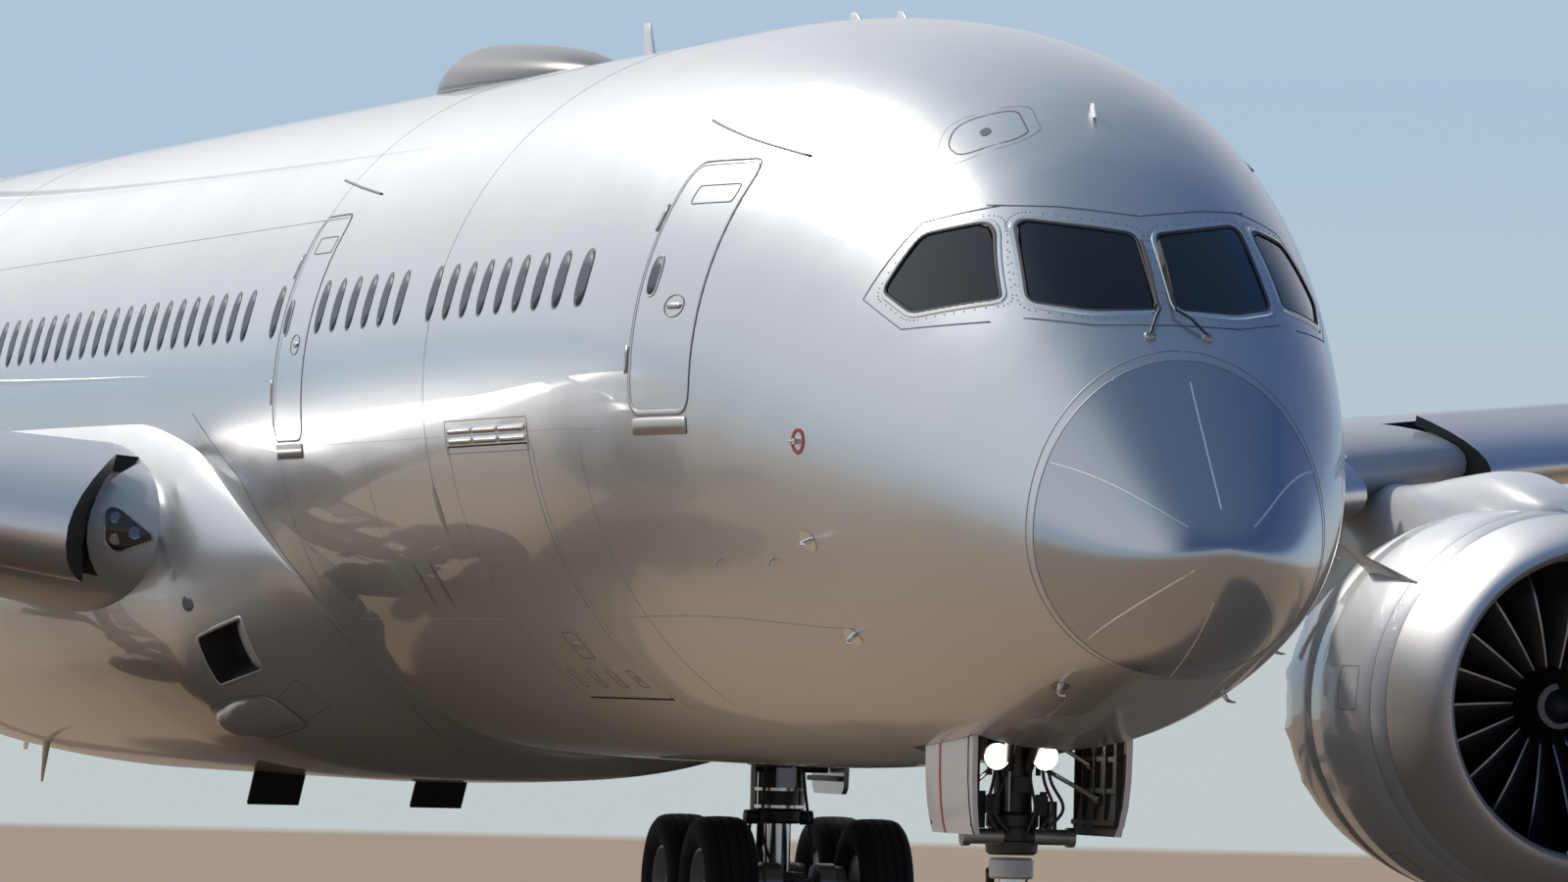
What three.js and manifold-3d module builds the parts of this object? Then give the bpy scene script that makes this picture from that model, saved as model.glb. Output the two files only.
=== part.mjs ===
// A wide body twin engine airliner on its landing gear, as a scale model at 1:2.
// Millimetres, +X to the nose, +Y to port, +Z up, origin on the ground below the middle of the airliner.
// Sizes below are real metres of the full size aircraft, and SCALE turns them into model millimetres.
// A station is a distance aft of the nose tip.
import * as THREE from 'three'
import { mergeVertices } from 'three/addons/utils/BufferGeometryUtils.js'
import Module from 'manifold-3d'

const wasm = await Module()
wasm.setup()

// Driving dimensions
const SCALE = 500
const SEAM = 0.0007
const CLEAR = 0.014
const LENGTH = 62.81
const SPAN = 60.12
const HEIGHT = 17.02
const BARREL = { half: 2.885, crown: 7.95, keel: 2.01, wide: 5.05 }
const RADOME_SEAM = 1.25
const FORWARD_JOINT = 13.2
const AFT_JOINT = 41.6
const NOSE_GEAR = { station: 5.5, track: 0.66, wheel: 0.508, width: 0.4 }
const MAIN_GEAR = { station: 31.4, side: 4.9, wheel: 0.685, width: 0.53, axles: 1.52, track: 1.55 }
const JACK = { nose: 7.6, wing: 29.6, side: 6, radius: 0.12, foot: 3.74 }
const ENGINE = { side: 9.76, height: 2.62, lip: 20.65, fan: 1.62, blades: 18 }

// Fuselage sections: station, crown height, keel height, half width, height of the widest line
const NOSE_SECTIONS = [
  [0, 3.69, 3.69, 0, 3.69],
  [0.12, 3.95, 3.34, 0.35, 3.67],
  [0.3, 4.15, 3.14, 0.55, 3.66],
  [0.7, 4.54, 2.93, 0.82, 3.7],
  [1.25, 5.06, 2.78, 1.09, 3.8],
  [2.1, 5.86, 2.61, 1.47, 4.04],
  [3.0, 6.53, 2.43, 1.79, 4.26],
  [4.0, 7.06, 2.27, 2.07, 4.48],
  [5.0, 7.4, 2.18, 2.31, 4.7],
  [6.5, 7.7, 2.1, 2.6, 4.92],
  [8.0, 7.85, 2.05, 2.78, 5.03],
  [10.5, 7.95, 2.01, 2.885, 5.05],
]
const TAIL_SECTIONS = [
  [43.0, 7.95, 2.01, 2.885, 5.05],
  [45.5, 7.95, 2.2, 2.86, 5.12],
  [48.0, 7.94, 2.75, 2.7, 5.4],
  [51.0, 7.88, 3.65, 2.35, 5.84],
  [54.0, 7.77, 4.62, 1.9, 6.24],
  [57.0, 7.6, 5.5, 1.38, 6.58],
  [59.5, 7.42, 6.18, 0.88, 6.82],
  [61.2, 7.26, 6.6, 0.48, 6.93],
  [61.9, 7.12, 6.8, 0.2, 6.96],
]

// Wing sections: distance from the centre plane, leading edge station, chord, height, thickness ratio
const WING_SECTIONS = [
  [1.6, 21.3, 13.1, 3.6, 0.135],
  [3.2, 22.4, 11.9, 3.85, 0.13],
  [6.4, 24.6, 9.95, 4.38, 0.12],
  [10.2, 27.1, 7.6, 4.88, 0.11],
  [15, 30.35, 6.15, 5.44, 0.103],
  [20, 33.85, 4.7, 6.05, 0.1],
  [26.3, 38.2, 2.95, 6.95, 0.095],
  [28.2, 40.3, 1.95, 7.25, 0.09],
  [29.5, 42.35, 1.05, 7.5, 0.085],
  [SPAN / 2, 43.55, 0.35, 7.65, 0.085],
]
const TAILPLANE_SECTIONS = [
  [0.5, 53.3, 5.75, 6.5, 0.1],
  [1.4, 53.95, 5.4, 6.6, 0.1],
  [9.2, 59.75, 2.65, 7.45, 0.09],
  [9.9, 60.65, LENGTH - 60.65, 7.53, 0.08],
]
// Fin sections: height, leading edge station, chord, thickness ratio
const FIN_SECTIONS = [
  [7.0, 48.6, 9.8, 0.1],
  [8.2, 50.6, 8.6, 0.1],
  [12.5, 54.45, 5.9, 0.095],
  [16.2, 57.3, 3.6, 0.09],
  [HEIGHT, 58.6, 2.3, 0.07],
]
// Fairing between the wings and the belly: station, half width, top, bottom, height of the widest line
const FAIRING_SECTIONS = [
  [18.7, 1.5, 3.2, 2.06, 2.6],
  [19.4, 2.5, 3.9, 1.93, 2.9],
  [20.7, 2.95, 4.75, 1.82, 3.2],
  [22.4, 3.2, 5.5, 1.74, 3.5],
  [25.0, 3.32, 5.7, 1.7, 3.6],
  [33.0, 3.32, 5.75, 1.7, 3.6],
  [36.0, 3.05, 5.2, 1.76, 3.3],
  [38.6, 2.3, 3.9, 1.88, 2.9],
  [40.0, 1.2, 2.9, 2.03, 2.5],
]

// Finishes
const FINISHES = {
  paint: { color: 0xb9c0c8, roughness: 0.28, metalness: 0.35 },
  wing: { color: 0xa4abb2, roughness: 0.35, metalness: 0.3 },
  polished: { color: 0xd8dadc, roughness: 0.15, metalness: 1 },
  glass: { color: 0x10151b, roughness: 0.05, metalness: 0.1 },
  titanium: { color: 0x8a8178, roughness: 0.4, metalness: 0.9 },
  blade: { color: 0x2a2d31, roughness: 0.35, metalness: 0.4 },
  gear: { color: 0xc9ccce, roughness: 0.4, metalness: 0.4 },
  rubber: { color: 0x1c1c1d, roughness: 0.85, metalness: 0 },
}

const group = new THREE.Group()
group.name = 'airliner'

function at(station, y, z) {
  return new THREE.Vector3(LENGTH / 2 - station, y, z)
}

// A closed solid from points in real metres and triangles, turned to face outwards
function solidFrom(points, triangles) {
  let volume = 0
  for (const [a, b, c] of triangles) {
    volume += points[a].dot(new THREE.Vector3().crossVectors(points[b], points[c]))
  }
  const vertProperties = new Float32Array(points.flatMap((p) => [p.x * SCALE, p.y * SCALE, p.z * SCALE]))
  const outward = volume < 0 ? triangles.map(([a, b, c]) => [a, c, b]) : triangles
  const mesh = new wasm.Mesh({ numProp: 3, vertProperties, triVerts: new Uint32Array(outward.flat()) })
  return new wasm.Manifold(mesh)
}

// A solid from a three.js geometry whose coordinates are real metres
function solidOf(geometry) {
  geometry.deleteAttribute('normal')
  geometry.deleteAttribute('uv')
  const merged = mergeVertices(geometry, 1e-5)
  const place = merged.getAttribute('position')
  const points = []
  for (let i = 0; i < place.count; i += 1) {
    points.push(new THREE.Vector3().fromBufferAttribute(place, i))
  }
  const triangles = []
  for (let i = 0; i < merged.index.count; i += 3) {
    const [a, b, c] = [0, 1, 2].map((k) => merged.index.getX(i + k))
    if (a !== b && b !== c && c !== a) triangles.push([a, b, c])
  }
  return solidFrom(points, triangles)
}

// A solid through closed rings of points, with equal counts or single end points
function loft(rings) {
  const points = rings.flat()
  const starts = []
  rings.reduce((start, ring) => {
    starts.push(start)
    return start + ring.length
  }, 0)
  const triangles = []
  for (let i = 0; i + 1 < rings.length; i += 1) {
    const count = Math.max(rings[i].length, rings[i + 1].length)
    for (let k = 0; k < count; k += 1) {
      const next = (k + 1) % count
      const [a, b] = [starts[i], starts[i + 1]]
      if (rings[i].length > 1 && rings[i + 1].length > 1) {
        triangles.push([a + k, a + next, b + next], [a + k, b + next, b + k])
      } else if (rings[i].length > 1) {
        triangles.push([a + k, a + next, b])
      } else {
        triangles.push([a, b + next, b + k])
      }
    }
  }
  const last = rings.length - 1
  for (const [a, b, c] of capOf(rings[0].length)) {
    triangles.push([starts[0] + a, starts[0] + c, starts[0] + b])
  }
  for (const [a, b, c] of capOf(rings[last].length)) {
    triangles.push([starts[last] + a, starts[last] + b, starts[last] + c])
  }
  return solidFrom(points, triangles)
}

// Triangles across a ring, as a strip between its two sides
function capOf(count) {
  const triangles = []
  for (let k = 0; count > 2 && k + 1 <= count - k - 1; k += 1) {
    const [near, far] = [count - k - 1, (count - k) % count]
    if (k + 1 !== near) triangles.push([k, k + 1, near])
    if (far !== k) triangles.push([k, near, far])
  }
  return triangles
}

// A smooth curve through a table's column, flat at an end that asks for it
function smooth(xs, ys) {
  const slopes = ys.map((y, i) => {
    if (i === 0 || i === ys.length - 1) return 0
    const before = (y - ys[i - 1]) / (xs[i] - xs[i - 1])
    const after = (ys[i + 1] - y) / (xs[i + 1] - xs[i])
    return before * after <= 0 ? 0 : (2 * before * after) / (before + after)
  })
  const end = ys.length - 1
  slopes[0] = (ys[1] - ys[0]) / (xs[1] - xs[0]) * 1.5 - slopes[1] * 0.5
  slopes[end] = (ys[end] - ys[end - 1]) / (xs[end] - xs[end - 1]) * 1.5 - slopes[end - 1] * 0.5
  return (x) => {
    if (x <= xs[0]) return ys[0]
    if (x >= xs[end]) return ys[end]
    const i = xs.findIndex((value) => value > x) - 1
    const width = xs[i + 1] - xs[i]
    const t = (x - xs[i]) / width
    const rise = ys[i + 1] - ys[i]
    const bend = t * (1 - t) * ((1 - t) * (slopes[i] * width - rise) - t * (slopes[i + 1] * width - rise))
    return ys[i] + rise * t + bend
  }
}

// Fuselage section at any station, grown outwards by a distance
const fuselageRows = [...NOSE_SECTIONS, ...TAIL_SECTIONS]
const rootStations = fuselageRows.map(([station]) => Math.sqrt(station))
const fuselageCurves = [1, 2, 3, 4].map((column) =>
  smooth(rootStations, fuselageRows.map((row) => row[column])))

function fuselageRing(station, grow = 0, count = 32) {
  const [crown, keel, half, wide] = fuselageCurves.map((curve) => curve(Math.sqrt(station)))
  const ring = []
  for (let k = 0; k < count; k += 1) {
    const turn = (2 * Math.PI * k) / count
    const rise = Math.cos(turn) > 0 ? crown - wide : wide - keel
    ring.push(at(station, Math.sin(turn) * (half + grow), wide + Math.cos(turn) * (rise + grow)))
  }
  return ring
}

function fuselageBetween(from, to, grow = 0, shift = 0) {
  const tableStations = fuselageRows.map(([station]) => station)
  const extra = [0.03, 1.0, 1.7, 2.55, 3.5, 5.7]
  const stations = [...tableStations, ...extra].filter((s) => s > from + 0.01 && s < to - 0.01)
  stations.push(from, to)
  stations.sort((a, b) => a - b)
  const rings = stations.filter((s) => s > 0).map((s) => fuselageRing(s, grow))
  if (from === 0) rings.unshift([at(-grow, 0, NOSE_SECTIONS[0][4])])
  if (shift !== 0) rings.forEach((ring) => ring.forEach((p) => p.setX(p.x + shift)))
  return loft(rings)
}

// Wing section ring in the plane of constant distance from the centre, growing outwards by a distance
const AIRFOIL_STEPS = 8
function airfoilRing(leading, chord, ratio, place, grow = 0, camber = 0.012) {
  const ring = []
  const heightOf = (x) => {
    const shape = 0.2969 * Math.sqrt(x) - 0.126 * x - 0.3516 * x * x + 0.2843 * x ** 3 - 0.1026 * x ** 4
    const half = 5 * ratio * shape
    return [half + 0.0022, camber * Math.sin(Math.PI * x)]
  }
  for (let k = 0; k < 2 * AIRFOIL_STEPS; k += 1) {
    const turn = (Math.PI * k) / AIRFOIL_STEPS
    const x = (1 + Math.cos(turn)) / 2
    const upper = k <= AIRFOIL_STEPS
    const [half, mean] = heightOf(x)
    const edge = k === 0 || k === AIRFOIL_STEPS
    const lift = edge ? 0 : (upper ? 1 : -1) * (half * chord + grow)
    const along = leading + x * chord + (k === 0 ? grow : 0) - (k === AIRFOIL_STEPS ? grow : 0)
    ring.push(place(along, mean * chord + lift))
  }
  return ring
}

function wingSolid(rows, side, grow = 0, drop = 0) {
  return loft(rows.map(([y, leading, chord, z, ratio]) => (
    airfoilRing(leading, chord, ratio, (s, h) => at(s, side * y, z + h - drop), grow)
  )))
}

function finSolid(grow = 0) {
  return loft(FIN_SECTIONS.map(([z, leading, chord, ratio]) => (
    airfoilRing(leading, chord, ratio, (s, h) => at(s, h, z), grow, 0)
  )))
}

// A value from a table of sections, along straight lines between its rows
function between(rows, key, column) {
  const i = Math.max(0, Math.min(rows.length - 2, rows.findIndex((row) => row[0] > key) - 1))
  const t = (key - rows[i][0]) / (rows[i + 1][0] - rows[i][0])
  return rows[i][column] + t * (rows[i + 1][column] - rows[i][column])
}

// A flat sided body between two like outlines
function hullOf(outline, travel) {
  return loft([outline, outline.map((p) => p.clone().add(travel))])
}

function box(centre, size) {
  const geometry = new THREE.BoxGeometry(size.x, size.y, size.z)
  return solidOf(geometry.translate(centre.x, centre.y, centre.z))
}

function rod(from, to, radius, sides = 8, endRadius = radius) {
  const axis = new THREE.Vector3().subVectors(to, from)
  const geometry = new THREE.CylinderGeometry(endRadius, radius, axis.length(), sides)
  const upright = new THREE.Vector3(0, 1, 0)
  geometry.applyQuaternion(new THREE.Quaternion().setFromUnitVectors(upright, axis.clone().normalize()))
  const middle = new THREE.Vector3().addVectors(from, to).multiplyScalar(0.5)
  return solidOf(geometry.translate(middle.x, middle.y, middle.z))
}

// A turned body: a closed profile of [distance along the axis, radius] about a line through a point
function turned(centre, axis, profile, sides, halfStep = false) {
  const points = profile.map(([along, radius]) => new THREE.Vector2(radius, along))
  const first = points[0]
  const closesOnAxis = first.x === 0 && points[points.length - 1].x === 0
  if (!closesOnAxis) points.push(first.clone())
  const geometry = new THREE.LatheGeometry(points, sides)
  if (halfStep) geometry.rotateY(Math.PI / sides)
  geometry.applyQuaternion(new THREE.Quaternion().setFromUnitVectors(new THREE.Vector3(0, 1, 0), axis))
  return solidOf(geometry.translate(centre.x, centre.y, centre.z))
}

function joined(solids) {
  return solids.reduce((sum, solid) => sum.add(solid))
}

function cut(solid, ...tools) {
  return tools.reduce((rest, tool) => rest.subtract(tool), solid)
}

// Turns a solid about a line by an angle in degrees
function turnedAbout(solid, origin, axis, degrees) {
  const mesh = solid.getMesh()
  const angle = THREE.MathUtils.degToRad(degrees)
  const turn = new THREE.Matrix4().makeRotationAxis(axis.clone().normalize(), angle)
  const points = []
  for (let i = 0; i < mesh.vertProperties.length; i += mesh.numProp) {
    const p = new THREE.Vector3(...mesh.vertProperties.slice(i, i + 3)).divideScalar(SCALE)
    points.push(p.sub(origin).applyMatrix4(turn).add(origin))
  }
  const triangles = []
  for (let i = 0; i < mesh.triVerts.length; i += 3) triangles.push([...mesh.triVerts.slice(i, i + 3)])
  return solidFrom(points, triangles)
}

// Adds one named sub-part, with its mesh placed at a point of the aircraft
function addPart(name, solid, finish, pivot) {
  const mesh = solid.getMesh()
  const origin = pivot.clone().multiplyScalar(SCALE)
  const positions = []
  for (let i = 0; i < mesh.vertProperties.length; i += mesh.numProp) {
    positions.push(mesh.vertProperties[i] - origin.x)
    positions.push(mesh.vertProperties[i + 1] - origin.y)
    positions.push(mesh.vertProperties[i + 2] - origin.z)
  }
  const geometry = new THREE.BufferGeometry()
  geometry.setAttribute('position', new THREE.BufferAttribute(new Float32Array(positions), 3))
  geometry.setIndex(new THREE.BufferAttribute(new Uint32Array(mesh.triVerts), 1))
  const part = new THREE.Mesh(geometry, new THREE.MeshStandardMaterial(FINISHES[finish]))
  part.name = name
  part.position.copy(origin)
  group.add(part)
}

const ALONG = new THREE.Vector3(1, 0, 0)
const ACROSS = new THREE.Vector3(0, 1, 0)
const sides = [['left', 1], ['right', -1]]

// A tool with an outline of [station, height] corners, reaching from one distance off the centre to another
function sidePrism(corners, side, inner, outer) {
  const across = new THREE.Vector3(0, side * (outer - inner), 0)
  return hullOf(corners.map(([s, z]) => at(s, side * inner, z)), across)
}

// A rectangle with cut corners, as [station, height] corners
function roundedRectangle(centre, width, height, corner, grow = 0) {
  const [w, h, c] = [width / 2 + grow, height / 2 + grow, corner]
  const corners = [
    [-w + c, h], [w - c, h], [w, h - c], [w, -h + c], [w - c, -h], [-w + c, -h], [-w, -h + c], [-w, h - c],
  ]
  return corners.map(([s, z]) => [centre[0] + s, centre[1] + z])
}

// Moving surfaces on a wing, tailplane or fin, each with a hinge line from an inner to an outer point
function hingeFrame(inner, outer, back) {
  const along = new THREE.Vector3().subVectors(outer, inner).normalize()
  const aft = back.clone().addScaledVector(along, -back.dot(along)).normalize()
  const normal = new THREE.Vector3().crossVectors(along, aft).normalize()
  if (normal.z < 0) normal.negate()
  return { inner, outer, along, aft, normal }
}

// The space behind a hinge line, with square ends, and a rounded nose on the line
function surfaceSpace(frame, radii, grow) {
  const { inner, outer, along, aft, normal } = frame
  const [depth, tall] = [7, 2.5]
  const start = inner.clone().addScaledVector(along, -grow)
  const length = inner.distanceTo(outer) + 2 * grow
  const corners = [[-grow, -tall], [-grow, tall], [depth, tall], [depth, -tall]]
  const outline = corners.map(([a, n]) => start.clone().addScaledVector(aft, a).addScaledVector(normal, n))
  const end = start.clone().addScaledVector(along, length)
  const space = hullOf(outline, along.clone().multiplyScalar(length))
  return space.add(rod(start, end, radii[0] + grow, 18, radii[1] + grow))
}

const wings = {}
const wingCuts = { left: [], right: [] }
const fairingRings = (grow) => FAIRING_SECTIONS.map(([station, half, top, bottom, wide], i) => {
  const ring = []
  const reach = i === 0 ? -grow : i === FAIRING_SECTIONS.length - 1 ? grow : 0
  for (let k = 0; k < 28; k += 1) {
    const turn = (2 * Math.PI * k) / 28
    const rise = Math.cos(turn) > 0 ? top - wide : wide - bottom
    const flat = Math.sign(Math.cos(turn)) * Math.abs(Math.cos(turn)) ** 0.8
    const broad = Math.sign(Math.sin(turn)) * Math.abs(Math.sin(turn)) ** 0.8
    ring.push(at(station + reach, broad * (half + grow), wide + flat * (rise + grow)))
  }
  return ring
})
const fuselageTool = fuselageBetween(0, 61.9, SEAM)
const fairingTool = loft(fairingRings(SEAM))

// Nose gear bay, its doors and the openings in the skin
const bay = { from: 4.3, to: 6.1, half: 0.64, roof: 3.3 }
const bayMiddle = (bay.from + bay.to) / 2
const noseBay = box(at(bayMiddle, 0, bay.roof - 1), new THREE.Vector3(bay.to - bay.from, 2 * bay.half, 2))

// Cargo doors on the right: station and height of the centre, width, height
const CARGO_DOORS = { forward: [11.08, 3.52, 2.7, 2.0], aft: [45.6, 3.95, 2.6, 1.6] }
const CARGO_SKIN = 0.14
const HOLD_DEPTH = 1.62
const cargo = {}
const skinInside = fuselageBetween(0.9, 61, -CARGO_SKIN)
for (const [name, [station, z, width, height]] of Object.entries(CARGO_DOORS)) {
  const opening = roundedRectangle([station, z], width, height, 0.1, CLEAR)
  const panel = roundedRectangle([station, z], width, height, 0.1)
  cargo[name] = {
    hold: sidePrism(opening, -1, BARREL.half - HOLD_DEPTH, BARREL.half + 1),
    panel: sidePrism(panel, -1, BARREL.half - HOLD_DEPTH + 0.03, BARREL.half + 1),
  }
}

// Passenger doors: station of the centre and height of the centre, both sides
const DOOR = { width: 1.14, height: 1.95, corner: 0.18, groove: 0.022, depth: 0.02 }
const DOOR_CENTRES = [[6.47, 5.66], [18.45, 5.62], [36.0, 5.62], [50.3, 5.7]]
const grooveInside = fuselageBetween(0.9, 61, -DOOR.depth)
const doorGrooves = DOOR_CENTRES.flatMap((centre) => sides.map(([, side]) => {
  const outer = roundedRectangle(centre, DOOR.width, DOOR.height, DOOR.corner, DOOR.groove)
  const inner = roundedRectangle(centre, DOOR.width, DOOR.height, DOOR.corner)
  return cut(sidePrism(outer, side, 0.6, 3.3), sidePrism(inner, side, 0.5, 3.4), grooveInside)
}))

// Cockpit panes: corners as [distance off the centre, height] for the front, [station, height] for the sides
const PANE_THICK = 0.05
const FRONT_PANE = [[0.07, 5.45], [0.55, 5.42], [0.92, 5.48], [0.86, 6.05], [0.79, 6.1], [0.07, 6.0]]
const SIDE_PANE = [[2.3, 5.5], [3.0, 5.4], [3.43, 5.57], [3.37, 5.99], [2.93, 6.08], [2.8, 6.0]]
const paneInside = fuselageBetween(0.3, 12, -PANE_THICK)
const paneFloor = fuselageBetween(0.3, 12, -PANE_THICK - SEAM)
const noseShape = fuselageBetween(RADOME_SEAM + SEAM, FORWARD_JOINT - SEAM)
const grownOutline = (corners, grow) => {
  const share = 1 / corners.length
  const middle = corners.reduce((sum, [a, b]) => [sum[0] + a * share, sum[1] + b * share], [0, 0])
  return corners.map(([a, b]) => {
    const reach = Math.hypot(a - middle[0], b - middle[1])
    return [a + ((a - middle[0]) / reach) * grow, b + ((b - middle[1]) / reach) * grow]
  })
}
const frontPrism = (side, grow) => {
  const outline = grownOutline(FRONT_PANE, grow).map(([y, z]) => at(1.4, side * y, z))
  return hullOf(outline, new THREE.Vector3(-2.8, 0, 0))
}
const sidePane = (side, grow) =>
  cut(sidePrism(grownOutline(SIDE_PANE, grow), side, 0.5, 3.2), frontPrism(side, 0.08 - grow))
const paneTools = []
for (const [word, side] of sides) {
  const frontGlass = noseShape.intersect(frontPrism(side, 0)).subtract(paneInside)
  addPart(`windshield_${word}`, frontGlass, 'glass', at(2.4, side * 0.6, 6))
  const sideGlass = noseShape.intersect(sidePane(side, 0)).subtract(paneInside)
  addPart(`side_window_${word}`, sideGlass, 'glass', at(3, side * 1.4, 6))
  paneTools.push(frontPrism(side, 0.008).subtract(paneFloor), sidePane(side, 0.008).subtract(paneFloor))
}

addPart('radome', fuselageBetween(0, RADOME_SEAM), 'paint', at(0, 0, NOSE_SECTIONS[0][4]))
const noseSkin = cut(noseShape, ...paneTools, noseBay, cargo.forward.hold, doorGrooves[0], doorGrooves[1])
const nosePad = rod(at(JACK.nose, 0, 2.3), at(JACK.nose, 0, 1.96), JACK.radius, 12)
addPart('fuselage_forward', noseSkin.add(nosePad), 'paint', at(RADOME_SEAM, 0, BARREL.wide))
const middleSkin = cut(fuselageBetween(FORWARD_JOINT, AFT_JOINT - SEAM), ...doorGrooves.slice(2, 6))
addPart('fuselage_centre', middleSkin, 'paint', at(FORWARD_JOINT, 0, BARREL.wide))
const finTool = finSolid(SEAM)
const tailTools = sides.map(([, side]) => wingSolid(TAILPLANE_SECTIONS, side, SEAM))
const tailGrooves = doorGrooves.slice(6, 8)
const tailSkin = cut(fuselageBetween(AFT_JOINT, 61.9), cargo.aft.hold, ...tailGrooves, ...tailTools)
const finSlot = finTool.intersect(box(at(54, 0, 7.9), new THREE.Vector3(16, 1.4, 1.7)))
addPart('fuselage_aft', tailSkin.subtract(finSlot), 'paint', at(AFT_JOINT, 0, BARREL.wide))
for (const [name, { panel }] of Object.entries(cargo)) {
  const skin = fuselageBetween(8, 49).intersect(panel).subtract(skinInside)
  addPart(`cargo_door_${name}`, skin, 'paint', at(CARGO_DOORS[name][0], -2.6, CARGO_DOORS[name][1]))
}

// Satellite aerial fairing on the crown
const HUMP = [
  [19.0, 0.06, 0.03], [19.9, 0.34, 0.15], [21.2, 0.52, 0.3],
  [22.5, 0.55, 0.38], [23.5, 0.42, 0.32], [24.1, 0.08, 0.04],
]
const humpRings = HUMP.map(([station, half, rise]) => {
  const ring = []
  for (let k = 0; k < 20; k += 1) {
    const turn = (2 * Math.PI * k) / 20
    const reach = Math.cos(turn) > 0 ? rise : 0.25
    ring.push(at(station, Math.sin(turn) * half, BARREL.crown + Math.cos(turn) * reach))
  }
  return ring
})
addPart('satellite_aerial', loft(humpRings).subtract(fuselageTool), 'paint', at(21.5, 0, BARREL.crown))

// Fairing, with a well for each main gear leg left to the wing
addPart('wing_body_fairing', loft(fairingRings(0)).subtract(fuselageTool), 'paint', at(27, 0, 1.8))

// Wings and their moving surfaces
// Trailing edge surfaces: inner and outer distance, chord of the surface at each end
const TRAILING = {
  flap_inboard: { from: 3.75, to: 8.7, chords: [2.05, 1.85], carriers: [6.5, 8.2] },
  flaperon: { from: 9.1, to: 10.75, chords: [1.9, 1.75] },
  flap_outboard: { from: 11.3, to: 19.7, chords: [1.6, 1.1], carriers: [12.7, 17.6] },
  aileron: { from: 20.35, to: 25.6, chords: [1.0, 0.75] },
}
const FLAP_HINGE_DROP = 1.0
const FLAP_HINGE_AHEAD = 0.1
const midHeight = (y, station) => {
  const [leading, chord, z] = [1, 2, 3].map((column) => between(WING_SECTIONS, y, column))
  return z + 0.012 * chord * Math.sin(Math.PI * ((station - leading) / chord))
}
const halfThickness = (rows, y, station, [lead, size, ratio]) => {
  const [leading, chord, thickness] = [lead, size, ratio].map((column) => between(rows, y, column))
  const x = (station - leading) / chord
  const half = 0.2969 * Math.sqrt(x) - 0.126 * x - 0.3516 * x * x + 0.2843 * x ** 3 - 0.1026 * x ** 4
  return (5 * thickness * half + 0.0022) * chord
}
const wingColumns = [1, 2, 4]
// Nose radii of a surface at the ends of its hinge line, large enough for the thickness between them
function noseRadii(rows, columns, ends) {
  const thickness = (key, station) => halfThickness(rows, key, station, columns)
  const [first, last] = ends.map(({ key, station }) => thickness(key, station))
  const shares = [0, 0.2, 0.4, 0.6, 0.8, 1]
  const excess = Math.max(...shares.map((share) => {
    const [key, station] = ['key', 'station'].map((name) =>
      ends[0][name] + share * (ends[1][name] - ends[0][name]))
    return thickness(key, station) / (first + share * (last - first))
  }))
  return [first, last].map((radius) => radius * excess + CLEAR / 3)
}
const trailingAt = (rows, y) => between(rows, y, 1) + between(rows, y, 2)

// The space behind a flap's front face, with square ends, as a plain block
function flapSpace(frame, grow) {
  const { inner, along, aft, normal } = frame
  const start = inner.clone().addScaledVector(along, -grow)
  const length = inner.distanceTo(frame.outer) + 2 * grow
  const corners = [[-grow - 0.25, -3], [-grow + 0.12, 3], [7, 3], [7, -3]]
  const outline = corners.map(([a, n]) => start.clone().addScaledVector(aft, a).addScaledVector(normal, n))
  return hullOf(outline, along.clone().multiplyScalar(length))
}

// Streamwise fairings that carry a flap: a fixed front part on the wing with a fork, and a rear part on the
// flap with the eye that turns in the fork. Rows are distance aft of the hinge, half width, top above the
// hinge, where given, and bottom
const CARRIER = { eye: 0.1, web: 0.06, gap: 0.06 }
const CARRIER_FRONT = [
  [-2.3, 0.03, null, 0.72], [-1.6, 0.15, null, 0.25], [-0.7, 0.22, null, -0.08],
  [-0.12, 0.22, null, -0.15], [-0.1, 0.22, 0.14, -0.15], [0.03, 0.2, 0.12, -0.12],
]
const carrierRings = (rows, place, heightAt) => rows.map(([aft, half, top, bottom]) => {
  const upper = top === null ? heightAt(aft) : place.z + top
  const lower = place.z + bottom
  const shoulder = lower + 0.4 * (upper - lower)
  const outline = [
    [-half, upper], [half, upper], [half, shoulder],
    [0.6 * half, lower], [-0.6 * half, lower], [-half, shoulder],
  ]
  return outline.map(([out, z]) => new THREE.Vector3(place.x - aft, place.y + out, z))
})
function flapCarrier(frame, axisPoint, y, chord) {
  const reach = (y - Math.abs(axisPoint.y)) / Math.abs(frame.along.y)
  const place = axisPoint.clone().addScaledVector(frame.along, reach)
  const heightAt = (aft) => midHeight(y, LENGTH / 2 - place.x + aft)
  const web = (half, outline) => hullOf(
    outline.map(([aft, up]) => place.clone().add(new THREE.Vector3(-aft, -half, up))),
    new THREE.Vector3(0, 2 * half, 0))
  const fork = web(CARRIER.web + CARRIER.gap, [[-0.15, -0.4], [-0.15, 0.3], [0.3, 0.3], [0.3, -0.4]])
  const front = loft(carrierRings(CARRIER_FRONT, place, heightAt)).subtract(fork)
  const rearRows = [
    [0.27, 0.16, null, -0.1], [0.27 + 0.45 * chord, 0.12, null, 0.36], [chord - 0.05, 0.03, null, 0.84],
  ]
  const [near, far] = [-CARRIER.web, CARRIER.web].map((across) => place.clone().setY(place.y + across))
  const eye = rod(near, far, CARRIER.eye, 10)
  const arm = web(CARRIER.web, [[0, 0.09], [0.3, 0.6], [0.5, 0.1], [0.02, -0.09]])
  return { front, rear: joined([loft(carrierRings(rearRows, place, heightAt)), eye, arm]) }
}

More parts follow.
